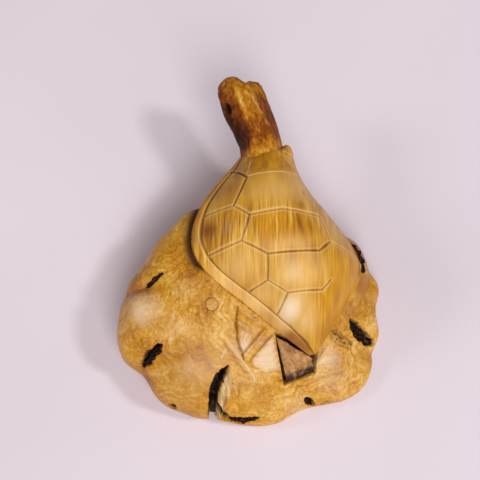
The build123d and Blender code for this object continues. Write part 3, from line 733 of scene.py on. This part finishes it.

# Raw offcut: dry brown wood with open grain about 3 mm wide and 10 mm long, broken into finer grain, and
# painted shade on its torn end; no wax.
OFFCUT_GRAIN = 1.6
OFFCUT_LENGTH = 6.0
OFFCUT_TURN = -0.6
wedge_wood, tree, shader, place = new_finish("raw_offcut")
grain_place = add(tree, "Mapping", {"Vector": place, "Rotation": (0.0, 0.0, OFFCUT_TURN)})
grain_place = add(tree, "VectorMath", {
    0: grain_place, 1: (1000 / OFFCUT_GRAIN, 1000 / OFFCUT_LENGTH, 1000 / OFFCUT_GRAIN),
}, operation="MULTIPLY")
grain = add(tree, "TexNoise", {"Vector": grain_place, "Scale": 0.6, "Detail": 6.0, "Roughness": 0.75})
tone = add(tree, "ValToRGB", {"Fac": grain}, stops=[(0.3, "#7A4A22"), (0.68, "#D9A468"), (0.48, "#B27C48")])
dirt = add(tree, "Attribute", {}, "Fac", attribute_name="dirt")
tone = add(tree, "Mix", {0: dirt, 6: tone, 7: "#361A0C"}, 2, data_type="RGBA")
bump = add(tree, "Bump", {"Height": grain, "Strength": 0.6, "Distance": 0.0006})
feed(tree, shader, {"Base Color": tone, "Roughness": 0.75, "Normal": bump})
dress(wedge, wedge_wood, "tail_wedge")

# Carapace. The domed shell, one block of straight-grained golden wood carved with the lines between
# its scutes and with a sloping rim band on the turtle's left, then sanded and waxed.

SHELL_HEIGHT = [3, 9, 15.5, 21, 25, 27, 27.4, 26.4, 24, 20, 15]
RIM_LEFT = [0.9, 4.6, 5.3, 5.5, 5.2, 4.4, 3.2, 2.2, 1.8, 1.6, 1.0]
RIM_SHARE = 0.9
RIM_SHELF = 1.6
RIM_RIGHT = 0.3
RIM_INNER = 4.4
RIM_EDGE = 0.9
RIM_GROOVE, RIM_GROOVE_DEPTH = 0.55, 0.7
DOME_FOOT = np.radians(30)
COLLAR_EDGE = 2.0
COLLAR_KNOB = (9.6, 99.2, 2.4, 2.6, 2.4)
COLLAR_PUSHES = [
    # place across, size, push forward
    (7.6, 3.4, 3.2), (-14.5, 4.0, 1.8),
]
SCUTE_GROOVE = 0.62
SCUTE_DEPTH = 0.7
SCUTE_CORNERS = {
    # place across and along the seat
    "collar_left": (-19.0, 88.5), "collar_middle": (-7.0, 88.2), "collar_right": (9.5, 87.0),
    "collar_rim": (-21.8, 95.5), "first_left": (-29.0, 75.0), "first_rim": (-42.0, 75.0),
    "first_right": (15.5, 73.0), "first_right_rim": (26.0, 75.0), "second_left": (-23.6, 68.6),
    "second_middle": (-7.5, 68.5), "second_bend": (2.5, 66.0), "second_right": (12.6, 63.8),
    "second_cheek": (-29.0, 57.4), "second_rim": (-46.0, 55.0), "third_left": (-18.6, 48.7),
    "third_middle": (6.4, 46.0), "third_right": (13.6, 50.0), "third_right_rim": (40.0, 36.5),
    "third_cheek": (-19.0, 37.4), "third_rim": (-31.0, 33.0), "fourth_left": (-10.7, 29.8),
    "fourth_middle": (5.3, 28.0), "fourth_right": (10.3, 31.8), "fourth_rim": (-16.0, 18.5),
    "knob_left": (3.6, 98.8), "knob_right": (10.6, 96.4), "collar_seam": (-12.2, 99.5),
}
SCUTE_LINES = [
    # corners, how dark, how wide and deep
    ("collar_rim collar_left first_left", 1.0, 1.1),
    ("collar_seam collar_left", 0.1, 0.6),
    ("knob_left knob_right", 0.35, 0.8),
    ("collar_left collar_middle collar_right", 0.15, 0.7),
    ("first_left first_rim", 0.45, 0.9),
    ("first_left second_left", 0.35, 0.9),
    ("second_left second_middle second_bend second_right", 0.3, 1.0),
    ("second_left second_cheek", 0.75, 0.9),
    ("second_cheek second_rim", 0.4, 1.0),
    ("second_cheek third_left", 0.6, 0.9),
    ("third_left third_middle", 0.8, 0.9),
    ("third_middle third_right", 0.85, 1.0),
    ("second_right third_right", 0.45, 0.8),
    ("third_right third_right_rim", 0.3, 0.8),
    ("collar_right first_right second_right", 0.15, 0.5),
    ("first_right first_right_rim", 0.15, 0.5),
    ("third_left third_cheek", 0.75, 0.9),
    ("third_cheek third_rim", 0.65, 0.9),
    ("third_cheek fourth_left fourth_middle", 0.6, 0.9),
    ("fourth_middle fourth_right", 0.85, 0.9),
    ("fourth_left fourth_rim", 0.6, 0.9),
]
SHELL_STAINS = [
    # place across and along, size across and along, strength: stains in the wood, and painted shade on the
    # left side's top and near the tail's end
    (-40.2, 67.0, 3.4, 4.6, 0.85), (-0.8, 60.0, 1.5, 6.5, 0.85), (4.6, 59.5, 1.3, 5.0, 0.35),
    (-22.5, 61.5, 1.6, 5.0, 0.3), (-9.1, 97.0, 3.0, 3.0, 0.45), (-15.0, 95.0, 4.0, 4.0, 0.4),
    (0.0, 93.0, 4.0, 4.0, 0.3), (-28.2, 84.4, 5.0, 6.0, 0.35), (8.0, 77.0, 1.0, 1.2, 0.4),
    (2.6, 69.6, 3.0, 2.4, 0.45), (3.0, 41.0, 2.6, 3.6, 0.2), (6.0, 8.0, 4.0, 6.0, 0.3),
]
SHELL_PALE = [
    # place across and along, size across and along, strength: pale wood, and painted highlights such as the
    # broad sheen on the lowest scute of the middle row
    (-6.0, 79.0, 17.0, 8.0, 0.42), (6.0, 79.0, 9.0, 9.0, 0.35), (-31.0, 46.0, 11.0, 10.0, 0.5),
    (-21.0, 31.0, 9.0, 9.0, 0.5), (-9.0, 37.0, 9.0, 7.0, 0.58), (0.0, 38.0, 10.0, 8.0, 0.32),
    (-9.6, 22.4, 6.8, 9.0, 0.92), (-3.5, 16.0, 6.0, 8.0, 0.55), (-6.0, 51.5, 14.0, 4.0, 0.3),
    (20.0, 57.0, 8.0, 10.0, 0.3),
]
BAND_BROWN_END, BAND_BROWN_FADE = 19.0, 11.0
STREAKY_PLACES = [0, 25, 45, 54, 70, 74, 101]
STREAKY_SHARES = [0.5, 0.55, 0.75, 1.1, 1.1, 0.5, 0.45]


def rim_band(place, half):
    """Width of the rim band on the turtle's left, never the whole of the half width."""
    return np.minimum(through(SHELL_PLACES, RIM_LEFT, place), RIM_SHARE * half)


def dome_rise(across, place):
    """Height of the dome above the seat: the cap of an oval across the shell's axis, cut at its foot."""
    middle, half = shell_at(place)
    left, height = rim_band(place, half), through(SHELL_PLACES, SHELL_HEIGHT, place)
    width = half - (left + RIM_RIGHT) / 2
    offset = np.clip((across - middle - (left - RIM_RIGHT) / 2) / width, -1, 1) * np.cos(DOME_FOOT)
    foot = np.sin(DOME_FOOT)
    rise = height * (np.sqrt(1 - offset ** 2) - foot) / (1 - foot)
    past = np.clip((place - SHELL_LENGTH + COLLAR_EDGE) / COLLAR_EDGE, 0, 1)
    knob_across, knob_along, wide, long, proud = COLLAR_KNOB
    knob = proud * bell(across - knob_across, wide) * bell(place - knob_along, long)
    return rise - COLLAR_EDGE * (1 - np.sqrt(1 - past ** 2)) * 0.8 + knob


def carapace_surface(rows, columns):
    """Sections from tail to collar: flat below, a rounded edge, the sloping rim band, then the dome.
    Gives each point's place across, along and above the seat and its distance in from the left edge."""
    place = np.linspace(0, SHELL_LENGTH, rows)[:, None]
    middle, half = shell_at(place)
    left = rim_band(place, half)
    share = np.linspace(0, 1, columns)
    share = share - 0.075 * np.sin(2 * np.pi * share)
    across = middle - half + 2 * half * share
    inward, from_right = across - middle + half, middle + half - across
    slope = np.clip(inward / (left + RIM_SHELF), 0, 1)
    inner = RIM_OUTER + (RIM_INNER - RIM_OUTER) * np.clip(left / max(RIM_LEFT), 0.35, 1)
    band = np.where(inward < half, RIM_OUTER + (inner - RIM_OUTER) * slope, 1.0)
    near = np.clip(1 - np.minimum(inward, from_right) / RIM_EDGE, 0, 1)
    drop = RIM_EDGE * (0.35 + 0.65 * ease((place - 42) / 10))
    rise = np.maximum(dome_rise(across, place), band) - drop * (1 - np.sqrt(1 - near ** 2))
    under = middle + half * np.linspace(1, -1, 9)[1:-1]
    across = np.hstack([across, under])
    rise = np.hstack([rise, 0 * under])
    thin = 0.35 + 0.65 * ease(place / 7)
    pushed = place + 0 * across
    for middle, size, push in COLLAR_PUSHES:
        pushed = pushed + push * bell(across - middle, size) * ease((place - 92) / 9) * ease(rise / 3)
    return across, pushed, rise * thin, np.hstack([inward, 0 * under - 9])


shell_across, shell_place, shell_rise, inward = carapace_surface(330, 258)
shell_middle, shell_half = shell_at(shell_place)
on_shell = np.stack([shell_across, shell_place, shell_rise], axis=-1)
shell_grid = from_seat(shell_across, shell_place, shell_rise)
wander = 0.22 * lumps(shell_grid, 4.0, 50)
dark_line, depth, pale_edge, stain, bleach = (np.zeros(shell_rise.shape) for _ in range(5))
# Each carved line is cut in and coloured darker, with a painted highlight along its edge.
for names, dark, size in SCUTE_LINES:
    corners = [SCUTE_CORNERS[name] for name in names.split()]
    plan = between(corners, np.linspace(0, 1, 8 * (len(corners) - 1) + 1))
    path = np.column_stack([plan, dome_rise(plan[:, 0], plan[:, 1])])
    path = path[path[:, 2] > np.where(path[:, 0] > 0, -0.1, RIM_OUTER)]
    gap = np.abs(to_path(on_shell, path)[0] + wander)
    cut = np.clip(1 - gap / (SCUTE_GROOVE * size), 0, 1)
    depth = np.maximum(depth, SCUTE_DEPTH * size * cut)
    dark_line = np.maximum(dark_line, dark * ease(cut * 1.6) * (0.9 + 0.5 * wander))
    pale_edge = np.maximum(pale_edge, (1 - 0.6 * dark) * size * bell(gap - ease(2.5 * dark), 0.45))
from_groove = inward - rim_band(shell_place, shell_half) - RIM_SHELF
cut = np.clip(1 - np.abs(from_groove + 0.5 * wander) / RIM_GROOVE, 0, 1)
depth = np.maximum(depth, RIM_GROOVE_DEPTH * cut)
dark_line = np.maximum(dark_line, 0.65 * ease(cut * 1.5))
# Painted highlight along the rim groove's outer edge.
pale_edge = np.maximum(pale_edge, 0.7 * bell(from_groove + 1.0, 0.4) * ease(shell_place / 25))
for field, patches in ((stain, SHELL_STAINS), (bleach, SHELL_PALE)):
    for across, along, wide, long, strength in patches:
        spot = strength * bell(shell_across - across, wide) * bell(shell_place - along, long)
        np.maximum(field, spot, out=field)
heart_zone = ease((shell_place - 46) / 8) * ease((70 + 12 * wander - shell_place) / 3)
heart_zone = heart_zone * ease((shell_across + 27) / 6) * ease((22 - shell_across) / 8)
from_edge = shell_half - shell_across + shell_middle
on_edge = ease((4.5 + 9 * wander - from_edge) / 4.5) * ease((shell_place - 31 + 8 * wander) / 9)
stain = np.maximum(stain, 0.85 * on_edge * ease((57 - shell_place + 8 * wander) / 13))
mottle = ease(0.45 + 0.8 * lumps(shell_grid, 3.2, 52) + 0.4 * lumps(shell_grid, 1.4, 53))
stain = np.maximum(stain, 0.5 * mottle * ease((shell_place - 86) / 6))
on_band = ease((0.2 - from_groove) / 0.6)
band_brown = 0.7 * ease((BAND_BROWN_END - shell_place) / BAND_BROWN_FADE)
# Painted shade on the band's upper part, which slopes away from the lamps.
band_brown = band_brown + 0.5 * ease((shell_place - 54) / 12)
band_brown = band_brown + 0.25 * bell(shell_place - 20, 7.0)
stain = np.maximum(stain, on_band * band_brown * (1 + 1.5 * wander))
streaky = through(STREAKY_PLACES, STREAKY_SHARES, shell_place)
streaky = streaky * (1 - 0.55 * ease((shell_across - 4) / 10) * ease((60 - shell_place) / 10))
shell_grid = shell_grid[:, ::-1]
shell_grid = shell_grid - depth[:, ::-1, None] * outward(shell_grid)
shell_marks = {
    "groove": dark_line, "worn": pale_edge, "stain": stain, "bleach": bleach, "heart": heart_zone,
    "streaky": streaky,
}
flipped = {mark: field[:, ::-1] for mark, field in shell_marks.items()}
carapace = lay("carapace_shell", shell_grid, **flipped)

# Straight-grained wood, waxed: fine lengthwise streaks under a millimetre wide, a few broad orange
# heart streaks across the middle, the carved lines coloured darker with painted highlights along their
# edges, pale patches with painted highlights, and stains with painted shade.
SHELL_STREAK = 0.7
SHELL_STREAK_LENGTH = 14.0
SHELL_BEND = 18.0
HEART_STREAK = 3.5
HEART_LENGTH = 16.0
shell_wood, tree, shader, place = new_finish("waxed_straight_grain")
marks = {mark: add(tree, "Attribute", {}, "Fac", attribute_name=mark) for mark in shell_marks}
bend = add(tree, "TexNoise", {"Vector": place, "Scale": 1000 / SHELL_BEND, "Detail": 2.0}, "Color")
grain_place = add(tree, "VectorMath", {
    0: bend, 1: (SHELL_BEND / 9000, 0.0, 0.0), 2: place,
}, operation="MULTIPLY_ADD")
fine_place = add(tree, "VectorMath", {
    0: grain_place, 1: (1000 / SHELL_STREAK, 1000 / SHELL_STREAK_LENGTH, 1000 / SHELL_STREAK_LENGTH),
}, operation="MULTIPLY")
streak = add(tree, "TexNoise", {"Vector": fine_place, "Scale": 0.8, "Detail": 2.0})
broad_place = add(tree, "VectorMath", {
    0: grain_place, 1: (1000 / HEART_STREAK, 1000 / HEART_LENGTH, 1000 / HEART_LENGTH),
}, operation="MULTIPLY")
heart = add(tree, "TexNoise", {"Vector": broad_place, "Scale": 1.0, "Detail": 3.0})
fine = add(tree, "Math", {0: streak, 1: 0.5}, operation="SUBTRACT")
mellow = add(tree, "MapRange", {"Value": heart, "To Min": 0.25, "To Max": 0.75})
figure = add(tree, "Math", {0: fine, 1: marks["streaky"], 2: mellow}, operation="MULTIPLY_ADD")
tone = add(tree, "ValToRGB", {"Fac": figure}, stops=[
    (0.22, "#8A4E06"), (0.80, "#ECBC5E"), (0.40, "#BC7C08"), (0.56, "#D29616"),
])
orange = add(tree, "MapRange", {
    "Value": heart, "From Min": 0.40, "From Max": 0.62, "To Min": 0.75, "To Max": 0.05,
})
orange = add(tree, "Math", {0: orange, 1: marks["heart"]}, operation="MULTIPLY")
# The pale patches turn whiter where strongest, as a painted highlight.
bare = add(tree, "ValToRGB", {"Fac": marks["bleach"]}, stops=[(0.45, "#F4CA82"), (1.0, "#FAE4C8")])
worn_share = add(tree, "Math", {0: marks["worn"], 1: 0.6}, operation="MULTIPLY")
# Mixed in turn: orange heart streaks, pale wood and painted highlights, stains and painted shade, painted
# edge highlights, darker carved lines.
for share, colour in (
    (orange, "#CC8602"), (marks["bleach"], bare), (marks["stain"], "#7E3E02"), (worn_share, "#F2CC88"),
    (marks["groove"], "#6E3A0A"),
):
    tone = add(tree, "Mix", {0: share, 6: tone, 7: colour}, 2, data_type="RGBA")
wax = add(tree, "MapRange", {
    "Value": streak, "From Min": 0.3, "From Max": 0.7, "To Min": 0.34, "To Max": 0.48,
})
rough = add(tree, "Math", {0: marks["stain"], 1: 0.35, 2: wax}, operation="MULTIPLY_ADD")
bump = add(tree, "Bump", {"Height": streak, "Strength": 0.12, "Distance": 0.0003})
feed(tree, shader, {
    "Base Color": tone, "Roughness": rough, "Normal": bump, "IOR": 1.48, "Specular IOR Level": 0.35,
})
dress(carapace, shell_wood, "carapace")

# Head and neck. Carved in planes from a darker, oiled piece and pegged into the shell's front:
# a flat top between two sloping sides, a blunt snout of two lobes and a long hollow for each eye.

NECK_SHAPE = (10.9, 5.5, 10.0, 10.0)
NECK_SHIFT, NECK_RISE = -4.9, 4.0
NECK_ROOT = 2.0
HEAD_STATIONS = [
    # x, y, z, half width, half width of the flat top, rise of the top, drop of the underside
    (3.5, 82.5, 48.3, 10.8, 5.0, 9.6, 9.2), (0.9, 89.4, 50.3, 11.1, 4.4, 9.3, 8.6),
    (-2.8, 97.4, 52.0, 11.8, 3.6, 9.0, 8.0), (-5.3, 104.5, 53.0, 11.4, 3.2, 8.6, 7.5),
    (-6.6, 109.3, 53.3, 10.6, 3.0, 7.4, 6.8), (-7.1, 111.9, 53.2, 8.4, 2.4, 5.4, 5.2),
    (-7.1, 112.9, 53.1, 4.0, 1.3, 2.8, 2.8), (-7.15, 113.2, 53.1, 1.0, 0.3, 0.7, 0.7),
]
CHEEK_SHARE, JAW_SHARE = 0.15, 0.6
PLANE_CRISPNESS = 13.0
PLANE_FULLNESS = 1.06
LOBE_LENGTH = 9.0
EYE_LENGTH, EYE_WIDTH, EYE_DEPTH = 3.2, 1.5, 1.2
EYES = [
    # place along in y, out from the middle, rise, how deep and dark
    (99.5, -9.4, 4.4, 1.0), (100.0, 9.0, 4.4, 0.4),
]
LEVEL_SHARES = [0.66, 0.62, 0.50, 0.47, 0.56, 0.62, 0.60, 0.52]


def head_surface(rows, columns):
    """Eight-sided sections along the neck's line. The reach at each angle is the soft least of the reaches
    to the eight planes: the sum of their inverse reaches to a high power, drawn back to a length."""
    root = from_seat(np.array([NECK_SHIFT]), np.array([SHELL_LENGTH - NECK_ROOT]), np.array([NECK_RISE]))[0]
    stations = np.vstack([[*root, *NECK_SHAPE], HEAD_STATIONS])
    run = np.concatenate([[0], np.cumsum(np.linalg.norm(np.diff(stations[:, :3], axis=0), axis=1))])
    at = run[-1] * (1 - (1 - np.linspace(0, 1, rows)) ** 1.6)
    middle = np.stack([through(run, stations[:, i], at) for i in range(3)], axis=-1)
    half, flat, top, under = (through(run, stations[:, i], at)[:, None] for i in (3, 4, 5, 6))
    cheek, jaw = CHEEK_SHARE * top, JAW_SHARE * half
    turn = np.linspace(0, 2 * np.pi, columns, endpoint=False)[None]
    total = np.zeros((rows, columns))
    planes = ((flat, top, half, cheek), (half, cheek, half, -cheek), (half, -cheek, jaw, -under))
    for side in (1, -1):
        for x0, y0, x1, y1 in planes:
            across, up = y0 - y1, x1 - x0
            toward = (side * across * np.cos(turn) + up * np.sin(turn)) / (across * x0 + up * y0)
            total += np.maximum(toward, 0) ** PLANE_CRISPNESS
    for reach, sign in ((top, 1), (under, -1)):
        total += np.maximum(sign * np.sin(turn) / reach, 0) ** PLANE_CRISPNESS
    reach = PLANE_FULLNESS * total ** (-1 / PLANE_CRISPNESS)
    ahead = unit(np.gradient(middle, axis=0))[:, None]
    side = unit(np.cross(ahead, [0, 0, 1]))
    x, y = reach * np.cos(turn), reach * np.sin(turn)
    front = ease((at - run[-1] + LOBE_LENGTH) / LOBE_LENGTH)[:, None]
    y = y - 0.9 * front * bell(x - 1.6, 1.7) * (y > 0)
    push = front * (0.9 * bell(x + 5.4, 3.4) - 1.9 * bell(x - 2.6, 1.9) - 2.2 * ease((x - 1.0) / 3))
    grid = middle[:, None] + x[..., None] * side + y[..., None] * np.cross(side, ahead)
    return grid + push[..., None] * ahead, x, y, at[:, None] + 0 * x, flat + 0 * x, ahead, middle


head_grid, head_x, head_y, head_at, head_flat, head_ahead, head_middle = head_surface(210, 200)
eye_dark = np.zeros(head_x.shape)
head_sink = 0.25 + 0.2 * lumps(head_grid, 5.0, 60) + 0.12 * lumps(head_grid, 2.2, 61)
for eye_y, out, rise, strength in EYES:
    eye_row = np.argmin(np.abs(head_middle[:, 1] - eye_y))
    column = np.argmin(np.hypot(head_x[eye_row] - out, head_y[eye_row] - rise))
    away = head_grid - head_grid[eye_row, column]
    ahead = away @ head_ahead[eye_row, 0]
    aside = np.sqrt(np.maximum((away ** 2).sum(axis=-1) - ahead ** 2, 0))
    oval = np.hypot(ahead / EYE_LENGTH, aside / EYE_WIDTH)
    head_sink = head_sink + EYE_DEPTH * strength * ease(1.4 - oval)
    eye_dark = np.maximum(eye_dark, strength * ease(1.7 - 1.2 * oval))
head_grid = head_grid - head_sink[..., None] * outward(head_grid)
length = head_at.max()
left_plane = ease((-head_x - 0.9 * head_flat) / 2.5) * ease((length - 3 - head_at) / 12)
right_plane = ease((head_x - head_flat - 0.5) / 2.5)
head_level = through([0, 4, 9, 16, 24, 32, length - 9, length], LEVEL_SHARES, head_at)
# The left plane darker: the wood's own dark colour and painted shade.
head_level = head_level - 0.2 * left_plane * ease(head_at / 8)
head_level = head_level - 0.12 * right_plane * bell(head_at - 0.55 * length, 16.0)
# Painted shade: darker towards the left edge and underneath.
head_level = head_level - 0.12 * ease((-head_x - 7.5) / 3) - 0.1 * ease((1.0 - head_y) / 3)
# Painted highlight: a pale line along the left edge of the flat top.
head_level = head_level + 0.12 * bell(head_x + 0.8 * head_flat, 1.1) * bell(head_at - 0.68 * length, 9.0)
# Painted highlight along the right edge of the flat top, where the edge also looks worn.
head_worn = bell(head_x - head_flat - 0.3 + 0.5 * lumps(head_grid, 3.0, 62), 0.4) * ease((head_at - 8) / 6)
head_worn = head_worn * ease((0.85 * length - head_at) / 6) * (head_y > 0)
head_worn = head_worn * ease(0.7 + lumps(head_grid, 3.5, 63))
head = lay("head_and_neck_carving", head_grid, level=head_level, eye=eye_dark, worn=head_worn)

# Oiled dark wood: mottled from dark brown to amber in flecks about 2 mm wide and 4 mm long, darkest on
# the left plane by its own colour and painted shade, with painted highlights along the edges of the flat
# top, which also look worn, and a low shine.
HEAD_FLECK = 1.6
HEAD_FLECK_LENGTH = 3.0
HEAD_MOTTLE = 0.75
HEAD_TURN = (0.3, 0.0, 0.35)
head_wood, tree, shader, place = new_finish("oiled_dark_grain")
marks = {mark: add(tree, "Attribute", {}, "Fac", attribute_name=mark) for mark in ("level", "eye", "worn")}
grain_place = add(tree, "Mapping", {"Vector": place, "Rotation": HEAD_TURN}, vector_type="TEXTURE")
fine_place = add(tree, "VectorMath", {
    0: grain_place, 1: (1000 / HEAD_FLECK, 1000 / HEAD_FLECK_LENGTH, 1000 / HEAD_FLECK),
}, operation="MULTIPLY")
streak = add(tree, "TexNoise", {"Vector": fine_place, "Scale": 0.8, "Detail": 5.0, "Roughness": 0.65})
fleck = add(tree, "Math", {0: streak, 1: 0.5}, operation="SUBTRACT")
figure = add(tree, "Math", {0: fleck, 1: HEAD_MOTTLE, 2: marks["level"]}, operation="MULTIPLY_ADD")
tone = add(tree, "ValToRGB", {"Fac": figure}, stops=[
    (0.10, "#220C02"), (0.92, "#EBC482"), (0.30, "#4C1E00"), (0.46, "#884202"), (0.62, "#BA7816"),
    (0.76, "#DAA446"),
])
worn_share = add(tree, "Math", {0: marks["worn"], 1: 0.6}, operation="MULTIPLY")
for share, colour in ((worn_share, "#EBC28A"), (marks["eye"], "#1E0B06")):
    tone = add(tree, "Mix", {0: share, 6: tone, 7: colour}, 2, data_type="RGBA")
wax = add(tree, "MapRange", {
    "Value": streak, "From Min": 0.3, "From Max": 0.7, "To Min": 0.42, "To Max": 0.58,
})
rough = add(tree, "Math", {0: marks["eye"], 1: 0.45, 2: wax}, operation="MULTIPLY_ADD")
bump = add(tree, "Bump", {"Height": streak, "Strength": 0.2, "Distance": 0.0004})
feed(tree, shader, {
    "Base Color": tone, "Roughness": rough, "Normal": bump, "IOR": 1.45, "Specular IOR Level": 0.16,
})
dress(head, head_wood, "head_and_neck")

# Studio. Pale pinkish paper under the figure, a broad soft lamp in front of it, a smaller key lamp to
# its right, a weak one to its left, and the camera looking steeply down from the tail's end.

PAPER_HALF = 3.0
PAPER_DROP = 0.0002
PAPER_FELT = 170.0
PAPER_SIDES = ((-1, -1), (1, -1), (1, 1), (-1, 1))
paper_corners = [(x * PAPER_HALF, y * PAPER_HALF, -PAPER_DROP) for x, y in PAPER_SIDES]
paper_mesh = bpy.data.meshes.new("paper")
paper_mesh.from_pydata(paper_corners, [], [(0, 1, 2, 3)])
paper = set_out("paper", paper_mesh)
paper_sheet, tree, shader, place = new_finish("matt_paper")
felt = add(tree, "TexNoise", {"Vector": place, "Scale": 1000 / PAPER_FELT, "Detail": 2.0})
tone = add(tree, "ValToRGB", {"Fac": felt}, stops=[(0.3, "#E2D5DE"), (0.7, "#E9DCE5")])
feed(tree, shader, {"Base Color": tone, "Roughness": 0.95, "Specular IOR Level": 0.1})
paper_mesh.materials.append(paper_sheet)

AIM = np.array([-0.006, 0.036, 0.030])
EYE_DISTANCE = 0.560
EYE_HEIGHT = np.radians(70)
camera = set_out("camera", bpy.data.cameras.new("camera"))
camera.data.lens = 84
camera.data.sensor_width = 36
camera.data.clip_start = 0.01
camera.location = AIM - EYE_DISTANCE * np.array([0, np.cos(EYE_HEIGHT), -np.sin(EYE_HEIGHT)])
camera.rotation_euler = (np.pi / 2 - EYE_HEIGHT, 0, 0)
bpy.context.scene.camera = camera

LAMPS = {
    # direction to the lamp, distance in m, side in m, power in W
    "key": ((0.61, -0.14, 0.78), 4.0, 0.52, 44.0),
    "left": ((-0.80, 0.0, 0.55), 4.0, 0.80, 24.0),
    "front": ((0.15, -0.62, 0.77), 4.0, 2.10, 104.0),
}
for name, (direction, distance, side, power) in LAMPS.items():
    lamp = set_out(name, bpy.data.lights.new(name, "AREA"))
    lamp.data.size, lamp.data.energy = side, power
    toward = np.array(direction) / np.linalg.norm(direction)
    lamp.location = AIM + distance * toward
    lamp.rotation_euler = (np.arccos(toward[2]), 0, np.arctan2(toward[0], -toward[1]))

world = bpy.data.worlds.new("studio")
world.use_nodes = True
feed(world.node_tree, world.node_tree.nodes["Background"], {"Color": "#FFFFFF", "Strength": 0.20})
bpy.context.scene.world = world
bpy.context.scene.view_settings.view_transform = "Standard"
